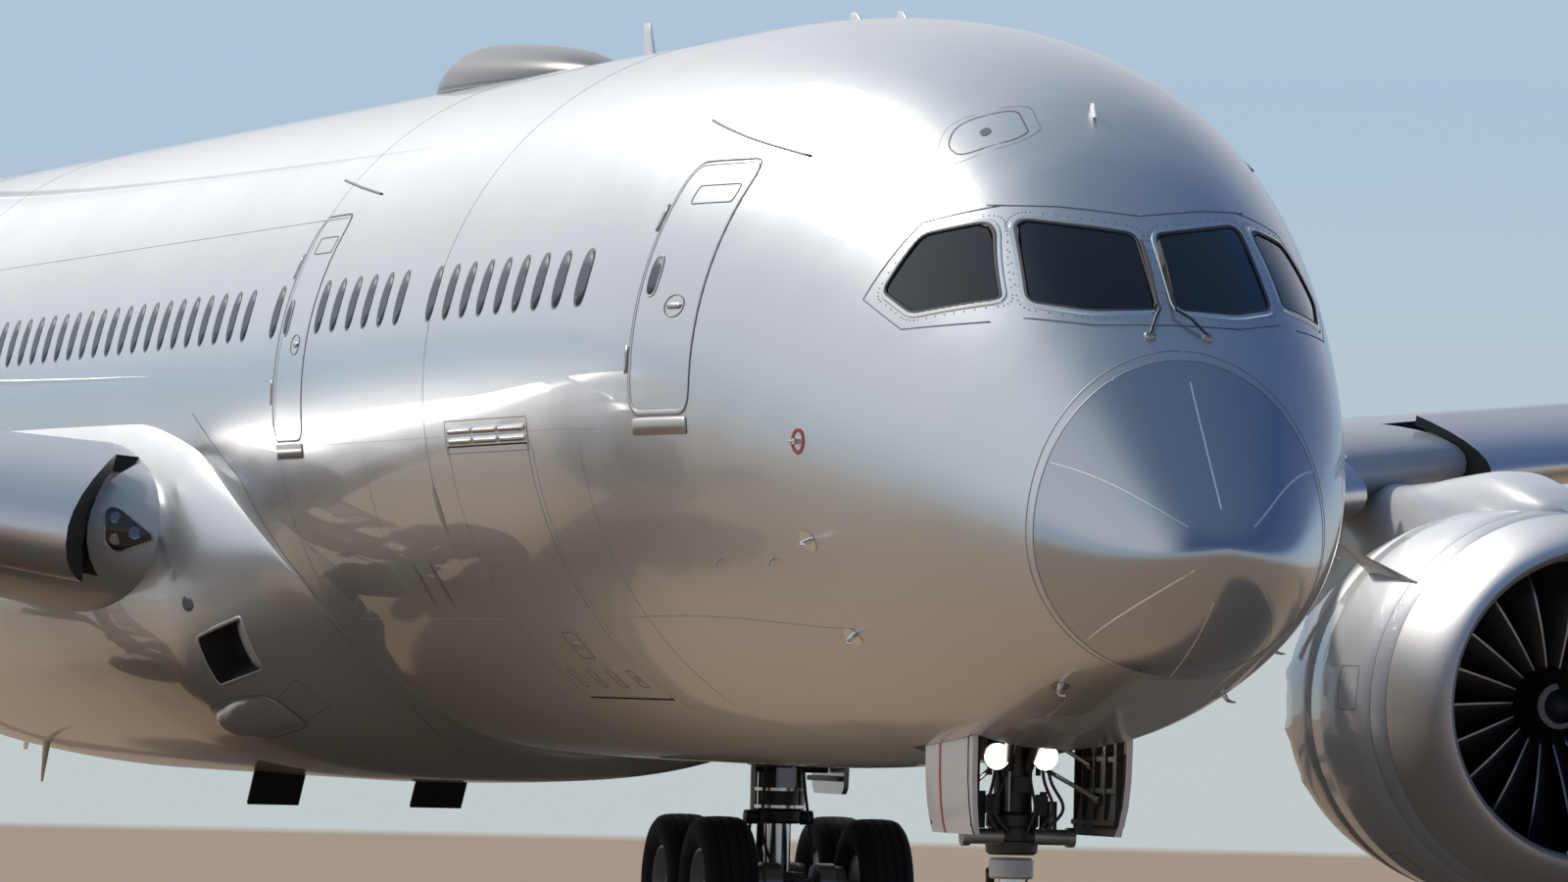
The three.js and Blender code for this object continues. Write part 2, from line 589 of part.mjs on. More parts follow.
// Spoiler banks: inner and outer distance, chord of the panel ahead of the flap
const SPOILERS = {
  spoilers_inboard: { from: 4.1, to: 8.5, chord: 1.15 },
  spoilers_outboard: { from: 11.6, to: 19.3, chord: 0.85 },
}
const SPOILER_THICK = 0.08
const SPOILER_HINGE_LIFT = 0.035
const SPOILER_END_GAP = 0.07
// Slats: inner and outer distance, depth of the slat at each end
const SLATS = {
  slat_inboard: { from: 3.75, to: 8.9, chords: [1.2, 0.98], radius: 1.7, tracks: [0.2, 0.8] },
  slat_outboard: { from: 10.6, to: 27.2, chords: [0.95, 0.42], radius: 1.15, tracks: [0.08, 0.4, 0.72] },
}
const SLAT_REST = 14
const SLAT_TRACK = { tall: 0.1, wide: 0.07, into: 26 }
const joints = {}

for (const [word, side] of sides) {
  const shape = cut(wingSolid(WING_SECTIONS, side), fuselageTool, fairingTool)
  const tools = wingCuts[word]
  const carriers = []
  for (const [kind, { from, to, chords, carriers: places = [] }] of Object.entries(TRAILING)) {
    const hinge = [from, to].map((y, i) => {
      const station = trailingAt(WING_SECTIONS, y) - chords[i]
      return at(station, side * y, midHeight(y, station))
    })
    const frame = hingeFrame(hinge[0], hinge[1], new THREE.Vector3(-1, 0, 0))
    const isFlap = kind.startsWith('flap_')
    const ends = [from, to].map((y, i) => ({ key: y, station: trailingAt(WING_SECTIONS, y) - chords[i] }))
    const radii = noseRadii(WING_SECTIONS, wingColumns, ends)
    const inner = isFlap ? flapSpace(frame, 0) : surfaceSpace(frame, radii, 0)
    const outer = isFlap ? flapSpace(frame, CLEAR) : surfaceSpace(frame, radii, CLEAR)
    const surface = shape.intersect(inner)
    tools.push(outer)
    const axisPoint = hinge[0].clone()
    if (isFlap) axisPoint.z -= FLAP_HINGE_DROP
    if (isFlap) axisPoint.x += FLAP_HINGE_AHEAD
    joints[`${kind}_${word}`] = { axisPoint, axis: frame.along }
    const pairs = places.map((y) => {
      const chord = chords[0] + ((y - from) / (to - from)) * (chords[1] - chords[0])
      return flapCarrier(frame, axisPoint, y, chord)
    })
    carriers.push(...pairs.map(({ front }) => front))
    const arms = pairs.map(({ rear }) => rear)
    wings[`${kind}_${word}`] = { surface: joined([surface, ...arms]), pivot: axisPoint }
  }
  const lowered = wingSolid(WING_SECTIONS, side, 0, SPOILER_THICK)
  const loweredMore = wingSolid(WING_SECTIONS, side, 0, SPOILER_THICK + CLEAR)
  for (const [kind, { from, to, chord }] of Object.entries(SPOILERS)) {
    const flap = TRAILING[kind.replace('spoilers', 'flap')]
    const rearAt = (y) => {
      const share = (y - flap.from) / (flap.to - flap.from)
      return trailingAt(WING_SECTIONS, y) - flap.chords[0] * (1 - share) - flap.chords[1] * share - 0.1
    }
    const rear = [from, to].map(rearAt)
    const slope = (rear[1] - rear[0]) / (to - from)
    const panelSpace = (grow, ends = 0) => {
      const [a, b] = [[from, -ends], [to, ends]].map(([y, move], i) => {
        const line = rear[i] + slope * move
        return [y + move, line - chord - grow, line + grow]
      })
      const outline = [[a[1], a[0]], [b[1], b[0]], [b[2], b[0]], [a[2], a[0]]]
      return hullOf(outline.map(([s, y]) => at(s, side * y, 2.5)), new THREE.Vector3(0, 0, 5))
    }
    const surface = shape.intersect(panelSpace(0)).subtract(lowered)
    tools.push(panelSpace(CLEAR, SPOILER_END_GAP).subtract(loweredMore))
    const hinge = [from, to].map((y, i) => {
      const station = rear[i] - chord
      const top = midHeight(y, station) + halfThickness(WING_SECTIONS, y, station, wingColumns)
      return at(station, side * y, top + SPOILER_HINGE_LIFT)
    })
    const axis = new THREE.Vector3().subVectors(hinge[1], hinge[0]).normalize()
    joints[`${kind}_${word}`] = { axisPoint: hinge[0], axis }
    wings[`${kind}_${word}`] = { surface, pivot: hinge[0] }
  }
  const slatTools = []
  for (const [kind, { from, to, chords, radius, tracks }] of Object.entries(SLATS)) {
    const ends = [from, to].map((y) => {
      const leading = between(WING_SECTIONS, y, 1)
      return at(leading, side * y, between(WING_SECTIONS, y, 3))
    })
    const frame = hingeFrame(ends[0], ends[1], new THREE.Vector3(-1, 0, 0))
    const space = (grow) => loft([0, 1].map((end) => {
      const depth = chords[end]
      const origin = ends[end].clone().addScaledVector(frame.along, (end === 0 ? -1 : 1) * grow)
      const key = [from, to][end]
      const reach = between(WING_SECTIONS, key, 1) + depth * 1.1
      const half = halfThickness(WING_SECTIONS, key, reach, wingColumns)
      const back = [
        [depth + grow, 2], [depth + grow, half * 0.93],
        [depth * 0.68, half * 0.78], [depth * 0.42, half * 0.42],
        [depth * 0.32, -half * 0.1], [depth * 0.36, -half * 0.62], [depth * 0.42, -2],
      ]
      const chain = [...back.map(([a, n]) => [a + grow, n]), ...back.toReversed().map(([, n]) => [-1, n])]
      return chain.map(([a, n]) =>
        origin.clone().addScaledVector(frame.aft, a).addScaledVector(frame.normal, n))
    }))
    const middle = new THREE.Vector3().addVectors(ends[0], ends[1]).multiplyScalar(0.5)
    const rearPoint = ends[0].clone().addScaledVector(frame.aft, 0.55 * chords[0])
    const axisPoint = rearPoint.addScaledVector(frame.normal, -radius)
    // Curved tracks about the slat's axis, which slide into slots in the wing's nose
    const depthAt = (share) => chords[0] + share * (chords[1] - chords[0])
    const track = (share, grow) => {
      const centre = axisPoint.clone().addScaledVector(frame.along, share * ends[0].distanceTo(ends[1]))
      const start = Math.atan2(0.55 * chords[0] - 0.2 * depthAt(share), radius)
      const rings = [0, 1, 2, 3].map((step) => {
        const turn = -start + (step / 3) * (start + THREE.MathUtils.degToRad(SLAT_TRACK.into) + grow)
        const level = frame.normal.clone().multiplyScalar(Math.cos(turn))
        const out = level.addScaledVector(frame.aft, Math.sin(turn))
        const [tall, wide] = [SLAT_TRACK.tall / 2 + grow, SLAT_TRACK.wide / 2 + grow]
        return [[-wide, -tall], [wide, -tall], [wide, tall], [-wide, tall]].map(([w, r]) => (
          centre.clone().addScaledVector(frame.along, w).addScaledVector(out, radius - 0.05 + r)
        ))
      })
      return loft(rings)
    }
    const retracted = joined([shape.intersect(space(0)), ...tracks.map((share) => track(share, 0))])
    slatTools.push(space(CLEAR), ...tracks.map((share) => track(share, CLEAR)))
    const axis = frame.along.clone()
    const surface = turnedAbout(retracted, axisPoint, axis, side * SLAT_REST)
    joints[`${kind}_${word}`] = { axisPoint, axis }
    wings[`${kind}_${word}`] = { surface, pivot: middle }
  }
  const [padTop, padFoot] = [4.1, JACK.foot].map((z) => at(JACK.wing, side * JACK.side, z))
  const pad = rod(padTop, padFoot, JACK.radius, 12)
  const surface = joined([cut(shape, ...tools, ...slatTools), pad, ...carriers])
  wings[`wing_${word}`] = { surface, pivot: at(27, side * 3, 3.3) }
}
for (const [name, { surface, pivot }] of Object.entries(wings)) {
  addPart(name, surface, 'wing', pivot)
}

// Tailplane, elevators, fin and rudder
const ELEVATOR = { from: 1.75, to: 9.0, share: 0.3 }
const tailColumns = [1, 2, 4]
for (const [word, side] of sides) {
  const shape = wingSolid(TAILPLANE_SECTIONS, side)
  const hinge = [ELEVATOR.from, ELEVATOR.to].map((y) => {
    const chord = between(TAILPLANE_SECTIONS, y, 2)
    const station = between(TAILPLANE_SECTIONS, y, 1) + (1 - ELEVATOR.share) * chord
    const camber = 0.012 * chord * Math.sin(Math.PI * (1 - ELEVATOR.share))
    return { point: at(station, side * y, between(TAILPLANE_SECTIONS, y, 3) + camber), key: y, station }
  })
  const frame = hingeFrame(hinge[0].point, hinge[1].point, new THREE.Vector3(-1, 0, 0))
  const radii = noseRadii(TAILPLANE_SECTIONS, tailColumns, hinge)
  joints[`elevator_${word}`] = { axisPoint: hinge[0].point, axis: frame.along }
  addPart(`elevator_${word}`, shape.intersect(surfaceSpace(frame, radii, 0)), 'wing', hinge[0].point)
  addPart(`stabiliser_${word}`, shape.subtract(surfaceSpace(frame, radii, CLEAR)), 'wing', at(55, side, 6.6))
}
const RUDDER = { from: 8.75, to: 16.1, share: 0.34 }
const finShape = finSolid()
const rudderHinge = [RUDDER.from, RUDDER.to].map((z) => {
  const chord = between(FIN_SECTIONS, z, 2)
  const station = between(FIN_SECTIONS, z, 1) + (1 - RUDDER.share) * chord
  return { point: at(station, 0, z), key: z, station }
})
const rudderFrame = hingeFrame(rudderHinge[0].point, rudderHinge[1].point, new THREE.Vector3(-1, 0, 0))
const rudderRadii = noseRadii(FIN_SECTIONS, [1, 2, 3], rudderHinge)
joints.rudder = { axisPoint: rudderHinge[0].point, axis: rudderFrame.along }
const tailSlices = cut(finShape, surfaceSpace(rudderFrame, rudderRadii, CLEAR))
const rudder = finShape.intersect(surfaceSpace(rudderFrame, rudderRadii, 0))
addPart('rudder', rudder, 'paint', rudderHinge[0].point)
const finBase = box(at(54, 0, 7.9 - 1), new THREE.Vector3(18, 3, 1.7 + 0.6))
addPart('fin', tailSlices.subtract(fuselageTool.intersect(finBase)), 'paint', at(52, 0, 9))

// Engines
const NACELLE_OUTER = [
  [0, 1.44], [0.08, 1.53], [0.45, 1.66], [1.0, 1.755], [1.8, 1.82], [2.6, 1.83], [3.5, 1.765], [4.85, 1.53],
]
const NACELLE_INNER = [[4.85, 1.49], [3.8, 1.54], [2.6, 1.5], [1.7, 1.41], [0.6, 1.34], [0.1, 1.37]]
const CORE_PROFILE = [
  [2.1, 0], [2.1, 0.6], [2.7, 0.78], [4.0, 0.92], [5.1, 0.84],
  [5.9, 0.64], [5.92, 0.52], [6.3, 0.47], [7.2, 0.1], [7.25, 0],
]
// Pylon sections: station, half width, top, bottom
const PYLON_SECTIONS = [
  [21.8, 0.1, 4.44, 4.2], [22.5, 0.36, 4.66, 4.1], [23.5, 0.42, 4.78, 3.9], [25.3, 0.42, 4.71, 3.3],
  [27.0, 0.36, 4.8, 3.2], [29.6, 0.24, 4.95, 3.6], [32.3, 0.06, 4.95, 4.5],
]
const CHEVRONS = 36
const NOZZLE = 4.85
function nacelle(side) {
  const profile = [...NACELLE_OUTER, ...NACELLE_INNER]
  const points = []
  const triangles = []
  for (let k = 0; k < CHEVRONS; k += 1) {
    const turn = (2 * Math.PI * k) / CHEVRONS
    for (const [along, radius] of profile) {
      const notch = along === NOZZLE && k % 2 === 1 ? 0.32 : 0
      const [across, rise] = [radius * Math.sin(turn), radius * Math.cos(turn)]
      points.push(at(ENGINE.lip + along - notch, side * ENGINE.side + across, ENGINE.height + rise))
    }
  }
  for (let k = 0; k < CHEVRONS; k += 1) {
    for (let j = 0; j < profile.length; j += 1) {
      const nextTurn = ((k + 1) % CHEVRONS) * profile.length
      const [a, b] = [k * profile.length + j, k * profile.length + ((j + 1) % profile.length)]
      const [c, d] = [nextTurn + j, nextTurn + ((j + 1) % profile.length)]
      triangles.push([a, b, d], [a, d, c])
    }
  }
  return solidFrom(points, triangles)
}
for (const [word, side] of sides) {
  const hub = (along) => at(ENGINE.lip + along, side * ENGINE.side, ENGINE.height)
  const shell = nacelle(side)
  const core = turned(hub(0), new THREE.Vector3(-1, 0, 0), CORE_PROFILE, CHEVRONS)
  // Pylon under the wing, which carries the nacelle and the core
  const strutRaw = loft(PYLON_SECTIONS.map(([station, half, top, bottom]) => (
    [
      [-half, bottom], [half, bottom], [half, top - 0.12],
      [half * 0.5, top], [-half * 0.5, top], [-half, top - 0.12],
    ]
      .map(([y, z]) => at(station, side * ENGINE.side + y, z))
  )))
  const wingTool = wingSolid(WING_SECTIONS, side, SEAM)
  const nacelleSleeve = turned(hub(0), new THREE.Vector3(-1, 0, 0), [
    [0.1, 0], [0.1, 1.45], ...NACELLE_OUTER.slice(2).map(([along, radius]) => [along, radius + SEAM]),
    [NOZZLE + 0.03, 1.34], [NOZZLE + 0.03, 0.9], [5.1, 0.84 + SEAM], [5.9, 0.64 + SEAM],
    [5.95, 0.57], [6.4, 0.51], [7.3, 0.16], [7.3, 0],
  ], CHEVRONS)
  const strut = cut(strutRaw, wingTool, nacelleSleeve)
  const struts = joined([0, 120, 240].map((degrees) => {
    const turn = THREE.MathUtils.degToRad(degrees)
    const radial = new THREE.Vector3(0, Math.sin(turn), Math.cos(turn))
    const from = hub(2.8).addScaledVector(radial, 0.6)
    const to = hub(2.8).addScaledVector(radial, 1.6)
    return rod(from, to, 0.09, 8)
  }))
  const aft = new THREE.Vector3(-1, 0, 0)
  const coreRoom = CORE_PROFILE.map(([a, r], i) => [a + (i === 0 ? -SEAM : 0), r === 0 ? 0 : r + SEAM])
  const vanes = struts.subtract(turned(hub(0), aft, coreRoom, CHEVRONS))
  addPart(`nacelle_${word}`, shell.add(vanes), 'paint', hub(0))
  addPart(`engine_core_${word}`, core, 'titanium', hub(2))
  addPart(`pylon_${word}`, strut, 'paint', hub(3))
  const spinner = [[1.12, 0], [1.16, 0.1], [1.3, 0.24], [1.5, 0.36], [1.7, 0.42], [2.0, 0.45], [2.0, 0]]
  const blades = []
  for (let k = 0; k < ENGINE.blades; k += 1) {
    blades.push(fanBlade(hub(ENGINE.fan), (2 * Math.PI * k) / ENGINE.blades))
  }
  const cone = turned(hub(0), aft, spinner, ENGINE.blades)
  addPart(`fan_${word}`, joined([cone, ...blades]), 'blade', hub(ENGINE.fan))
  joints[`fan_${word}`] = { axisPoint: hub(ENGINE.fan), axis: ALONG }
}

// A wide swept fan blade with a twist, from root to tip: radius, half chord, twist in degrees, sweep
function fanBlade(centre, turn) {
  const rows = [[0.34, 0.15, 38, 0], [0.88, 0.22, 49, -0.03], [1.33, 0.24, 60, 0.05]]
  const radial = new THREE.Vector3(0, Math.sin(turn), Math.cos(turn))
  const around = new THREE.Vector3(0, Math.cos(turn), -Math.sin(turn))
  const rings = rows.map(([radius, half, twist, sweep]) => {
    const angle = THREE.MathUtils.degToRad(twist)
    const chordwise = ALONG.clone().multiplyScalar(Math.cos(angle)).addScaledVector(around, Math.sin(angle))
    const thick = new THREE.Vector3().crossVectors(chordwise, radial).normalize()
    const base = centre.clone().addScaledVector(radial, radius).addScaledVector(ALONG, -sweep)
    return [[-half, 0], [0, 0.034], [half, 0], [0, -0.026]].map(([a, b]) => (
      base.clone().addScaledVector(chordwise, a).addScaledVector(thick, b)
    ))
  })
  return loft(rings)
}

// Landing gear
const WHEEL_SIDES = 16
function wheelProfile(radius, width) {
  const side = [[0.22, 0], [0.16, 0.5], [0.48, 0.72], [0.42, 0.95], [0.18, 1]]
  const outer = side.map(([out, share]) => [-out * width, share * radius])
  return [...outer, ...side.toReversed().map(([out, share]) => [out * width, share * radius])]
}
function wheelPair(centre, gauge, radius, width, axle) {
  const profile = wheelProfile(radius / Math.cos(Math.PI / WHEEL_SIDES), width)
  const wheels = [-1, 1].map((end) => (
    turned(centre.clone().addScaledVector(ACROSS, (end * gauge) / 2), ACROSS, profile, WHEEL_SIDES, true)
  ))
  const half = (gauge - width * 0.3) / 2
  const [near, far] = [-half, half].map((reach) => centre.clone().addScaledVector(ACROSS, reach))
  const shaft = rod(near, far, axle, 12)
  return joined([...wheels, shaft])
}

// Nose gear: fixed outer cylinder, turning piston with the axle beam, and a wheel pair
const noseAxle = at(NOSE_GEAR.station, 0, NOSE_GEAR.wheel)
const noseTop = at(NOSE_GEAR.station - 0.1, 0, bay.roof - SEAM)
const noseDown = (z) => at(NOSE_GEAR.station, 0, z)
const behind = (z, back) => noseDown(z).add(new THREE.Vector3(-back, 0, 0))
const legNose = joined([
  rod(noseDown(1.42), noseDown(bay.roof - SEAM), 0.145, 12),
  rod(noseDown(1.42), noseDown(1.72), 0.2, 12),
  rod(at(NOSE_GEAR.station - 1, 0, bay.roof - 0.18), noseDown(2.05), 0.07),
  rod(at(NOSE_GEAR.station, -bay.half + SEAM, 3.05), at(NOSE_GEAR.station, bay.half - SEAM, 3.05), 0.09),
])
addPart('nose_gear_leg', legNose, 'gear', noseTop)
const forkNose = joined([
  rod(noseDown(0.5), noseDown(1.42 - CLEAR), 0.095, 12),
  rod(noseDown(1.24), noseDown(1.42 - CLEAR), 0.17, 12),
  rod(at(NOSE_GEAR.station, -0.11, 0.508), at(NOSE_GEAR.station, 0.11, 0.508), 0.13, 12),
  box(at(NOSE_GEAR.station - 0.12, 0, NOSE_GEAR.wheel), new THREE.Vector3(0.24, 0.14, 0.1)),
  rod(behind(1.3, 0.12), behind(0.95, 0.42), 0.05),
  rod(behind(0.95, 0.42), behind(0.55, 0.08), 0.05),
])
const axleBore = (centre, reach, radius) => rod(
  centre.clone().addScaledVector(ACROSS, -reach), centre.clone().addScaledVector(ACROSS, reach), radius, 16)
addPart('nose_gear_piston', forkNose.subtract(axleBore(noseAxle, 0.3, 0.06 + 0.004)), 'gear', noseDown(1.3))
const noseWheels = wheelPair(noseAxle, NOSE_GEAR.track, NOSE_GEAR.wheel, NOSE_GEAR.width, 0.06)
addPart('nose_wheels', noseWheels, 'rubber', noseAxle)
for (const [word, side] of sides) {
  const leafRing = ([z, y, from, to]) => (
    [[from, y], [to, y], [to, y + 0.04], [from, y + 0.04]].map(([s, out]) => at(s, side * out, z))
  )
  const leaf = loft([[2.6, 0.59, 4.42, 5.75], [2.2, 0.6, 4.42, 5.75], [1.58, 0.56, 4.5, 5.7]].map(leafRing))
  const inside = fuselageBetween(RADOME_SEAM, FORWARD_JOINT, SEAM).subtract(noseBay)
  addPart(`nose_gear_door_${word}`, leaf.subtract(inside), 'paint', at(5.1, side * 0.6, 2))
}

// Main gear: leg with its bogie beam, two wheel pairs each, and the leg's own door
for (const [word, side] of sides) {
  const foot = at(MAIN_GEAR.station, side * MAIN_GEAR.side, MAIN_GEAR.wheel)
  const point = (forward, out, z) => at(MAIN_GEAR.station - forward, side * (MAIN_GEAR.side + out), z)
  const halfAxles = MAIN_GEAR.axles / 2
  const beam = box(foot, new THREE.Vector3(MAIN_GEAR.axles + 0.3, 0.26, 0.3))
  const legDoor = [point(-0.75, 0.42, 3.9), point(0.75, 0.42, 3.9), point(0.6, 0.5, 1.6), point(-0.6, 0.5, 1.6)]
  const raw = joined([
    rod(point(0, 0, 0.69), point(0, 0, 1.5), 0.13, 12),
    rod(point(0, 0, 1.32), point(0, 0, 4), 0.21, 12),
    rod(point(0, 0, 1.9), point(-0.9, -1.3, 3.9), 0.08, 12),
    rod(point(0, 0, 1.7), point(1.5, 0.05, 3.9), 0.08, 12),
    rod(point(-0.16, 0, 1.4), point(-0.5, 0, 1.05), 0.06, 10),
    rod(point(-0.5, 0, 1.05), point(-0.1, 0, 0.75), 0.06, 10),
    beam,
    hullOf(legDoor, new THREE.Vector3(0, side * 0.05, 0)),
    rod(point(0, 0.1, 2.6), point(0, 0.46, 2.6), 0.05, 10),
    rod(point(0, 0.1, 1.85), point(0, 0.49, 1.85), 0.05, 10),
  ])
  const wingTool = wingSolid(WING_SECTIONS, side, SEAM)
  const bores = [-1, 1].map((end) => axleBore(point(end * halfAxles, 0, MAIN_GEAR.wheel), 0.4, 0.09 + 0.004))
  const leg = cut(raw, wingTool, fairingTool, fuselageTool, ...bores)
  addPart(`main_gear_leg_${word}`, leg, 'gear', point(0, 0, 2.5))
  for (const [place, end] of [['front', 1], ['rear', -1]]) {
    const centre = point(end * halfAxles, 0, MAIN_GEAR.wheel)
    const pair = wheelPair(centre, MAIN_GEAR.track, MAIN_GEAR.wheel, MAIN_GEAR.width, 0.09)
    addPart(`main_wheels_${place}_${word}`, pair, 'rubber', centre)
  }
}

// Hinge lines in real metres, for whoever moves the sub-parts
group.userData.joints = joints

export default group
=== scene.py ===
# %% [markdown]
# A wide body twin engine airliner on its landing gear, as a scale model at 1:2. The CAD model is the fixed
# frame: it holds the sizes, the joints and the places. This lesson dresses it in Blender, piece by piece.
# Each piece says what it is on the real aircraft, how it could be made, and why it is made this way.

import math

import bmesh
import bpy
import numpy as np
from mathutils import Matrix, Vector
from mathutils.bvhtree import BVHTree


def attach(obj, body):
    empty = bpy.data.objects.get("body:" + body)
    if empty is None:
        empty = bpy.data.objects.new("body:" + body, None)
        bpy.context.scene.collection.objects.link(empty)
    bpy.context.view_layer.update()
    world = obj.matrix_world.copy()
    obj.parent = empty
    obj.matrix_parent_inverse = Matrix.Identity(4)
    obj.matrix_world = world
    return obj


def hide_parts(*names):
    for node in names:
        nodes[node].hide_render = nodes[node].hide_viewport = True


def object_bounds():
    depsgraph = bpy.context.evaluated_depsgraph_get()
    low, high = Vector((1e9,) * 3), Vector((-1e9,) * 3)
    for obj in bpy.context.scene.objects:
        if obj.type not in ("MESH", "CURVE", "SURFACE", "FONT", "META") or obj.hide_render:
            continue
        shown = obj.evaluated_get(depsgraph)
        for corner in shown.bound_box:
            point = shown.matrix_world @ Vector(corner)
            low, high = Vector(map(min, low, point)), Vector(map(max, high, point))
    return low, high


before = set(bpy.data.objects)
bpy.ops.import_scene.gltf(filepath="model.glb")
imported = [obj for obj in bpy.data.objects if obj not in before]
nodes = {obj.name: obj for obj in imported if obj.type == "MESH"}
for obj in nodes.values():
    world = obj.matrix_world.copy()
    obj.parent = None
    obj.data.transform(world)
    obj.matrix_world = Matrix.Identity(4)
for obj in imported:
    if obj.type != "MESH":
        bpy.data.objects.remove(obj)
cad_low, cad_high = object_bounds()
scene = bpy.context.scene


def add_object(name, data):
    thing = bpy.data.objects.new(name, data)
    scene.collection.objects.link(thing)
    return thing


print("CAD box", [round(v, 3) for v in (*cad_low, *cad_high)])

# %% [markdown]
# An aircraft's drawings place things by station, the distance aft of the nose tip, and by height above the
# ground, at full size. The lesson keeps those numbers, because they are the ones that a book or a
# photograph gives, and one function turns them into the frame's metres. The frame's length gives the scale.

# %% Full size places in the frame
LENGTH = 62.81
SCALE = (cad_high.x - cad_low.x) / LENGTH
SIDES = {"left": 1, "right": -1}


def spot(station, y, z):
    return Vector(((LENGTH / 2 - station) * SCALE, y * SCALE, z * SCALE))


print("scale", round(SCALE, 4))

# %% [markdown]
# The camera stands low, ahead of the starboard side, far away with a long lens. Its place was fitted so
# that the cabin windows, the nose outline and the gear fall on the photograph. Yaw turns it off the
# fuselage's line, pitch lifts it, and roll is the small lean of the hand that held it.

# %% Camera
CAMERA_PLACE = (111.02, -23.93, 2.69)
YAW, PITCH, ROLL = 0.2539, 0.0205, 0.0223
FOCAL_PIXELS, IMAGE_WIDTH, SENSOR = 11957.0, 1600.0, 36.0

forward = Vector((-math.cos(YAW) * math.cos(PITCH), math.sin(YAW) * math.cos(PITCH), math.sin(PITCH)))
level = Vector((math.sin(YAW), math.cos(YAW), 0.0))
above = level.cross(forward)
right = level * math.cos(ROLL) + above * math.sin(ROLL)
up = above * math.cos(ROLL) - level * math.sin(ROLL)
camera_data = bpy.data.cameras.new("camera")
camera_data.sensor_width = SENSOR
camera_data.lens = SENSOR * FOCAL_PIXELS / IMAGE_WIDTH
camera_data.clip_start, camera_data.clip_end = 1.0, 2000.0
camera = add_object("camera", camera_data)
turn_matrix = Matrix((right, up, -forward)).transposed().to_4x4()
camera.matrix_world = Matrix.Translation(Vector(CAMERA_PLACE) * SCALE) @ turn_matrix
scene.camera = camera
print("lens", round(camera_data.lens, 1), "mm")

# %% [markdown]
# Paint, metal, glass and rubber differ in how they reflect. Each finish is one Principled shader, with
# noise that varies its colour and roughness and a bump for its grain, because a real surface is never even.
# One helper makes them all, and its arguments are what a painter would ask: colour, metal, gloss, clear
# coat and grain.

# %% Finishes
def set_inputs(tree, node, values, wires):
    """Sets a node's inputs to plain values, and wires others to the outputs of other nodes."""
    for name, value in values.items():
        node.inputs[name].default_value = value
    for name, output in wires.items():
        tree.links.new(output, node.inputs[name])


def new_node(tree, kind, values, wires, **options):
    node = tree.nodes.new(f"ShaderNode{kind}")
    for name, option in options.items():
        setattr(node, name, option)
    set_inputs(tree, node, values, wires)
    return node


def make_finish(name, colour, metal=0.0, rough=0.4, coat=0.0, coat_rough=0.05, vary=0.06, patch_size=2.0,
                grain=0.0, grain_size=200.0, wave=0.0, wave_size=0.8, rough_vary=0.08, glow=0.0):
    material = bpy.data.materials.new(name)
    material.use_nodes = True
    tree = material.node_tree
    place = new_node(tree, "TexCoord", {}, {}).outputs["Object"]
    cloud = new_node(tree, "TexNoise", {"Scale": patch_size, "Detail": 6.0}, {"Vector": place}).outputs["Fac"]
    tint = new_node(tree, "Mix", {"A": (*[c * (1 - vary) for c in colour], 1),
                                  "B": (*[min(1.0, c * (1 + vary)) for c in colour], 1)},
                    {"Factor": cloud}, data_type="RGBA")
    gloss = new_node(tree, "MapRange", {"To Min": max(0.0, rough - rough_vary),
                                        "To Max": min(1.0, rough + rough_vary)}, {"Value": cloud})
    values = {"Metallic": metal, "Coat Weight": coat, "Coat Roughness": coat_rough}
    wires = {"Base Color": tint.outputs["Result"], "Roughness": gloss.outputs["Result"]}
    for size, strength in ((wave_size, wave), (grain_size, grain)):
        if strength == 0:
            continue
        ripple = new_node(tree, "TexNoise", {"Scale": size, "Detail": 3.0}, {"Vector": place})
        below = {"Normal": wires["Normal"]} if "Normal" in wires else {}
        bump = new_node(tree, "Bump", {"Strength": strength, "Distance": 0.4 / size},
                        {"Height": ripple.outputs["Fac"], **below})
        wires["Normal"] = bump.outputs["Normal"]
    if glow:
        values |= {"Emission Color": (1.0, 0.93, 0.8, 1), "Emission Strength": glow}
    set_inputs(tree, tree.nodes["Principled BSDF"], values, wires)
    return material


mica = make_finish("silver_mica", (0.63, 0.65, 0.67), metal=0.85, rough=0.33, coat=0.6, coat_rough=0.015,
                   vary=0.03, patch_size=0.6, grain=0.03, grain_size=420, wave=0.05, wave_size=0.7,
                   rough_vary=0.03)
# The radome is painted like the body; this finish is darker and bluer, a painted reflection of the deep blue
# sky ahead of the nose.
radome_paint_and_reflection = make_finish("radome_paint_and_reflection", (0.46, 0.49, 0.53), metal=0.9, rough=0.2, coat=0.4,
                           coat_rough=0.02, vary=0.03, patch_size=1.0, grain=0.03, grain_size=420,
                           rough_vary=0.04)
wing_grey = make_finish("wing_grey", (0.46, 0.48, 0.50), metal=0.1, rough=0.38, coat=0.2, vary=0.05)
cowl_grey = make_finish("cowl_grey", (0.76, 0.77, 0.78), metal=0.3, rough=0.5, coat=0.8, coat_rough=0.02,
                        vary=0.03)
band_grey = make_finish("band_grey", (0.66, 0.67, 0.69), metal=0.3, rough=0.5, coat=0.6, coat_rough=0.02,
                        vary=0.03)
lip_metal = make_finish("lip_metal", (0.82, 0.81, 0.80), metal=0.9, rough=0.46, vary=0.04, grain=0.05,
                        grain_size=260, rough_vary=0.05)
bright_metal = make_finish("bright_metal", (0.83, 0.83, 0.82), metal=1.0, rough=0.2, vary=0.04)
titanium = make_finish("heat_tinted_titanium", (0.45, 0.40, 0.35), metal=1.0, rough=0.38, vary=0.18,
                       patch_size=3)
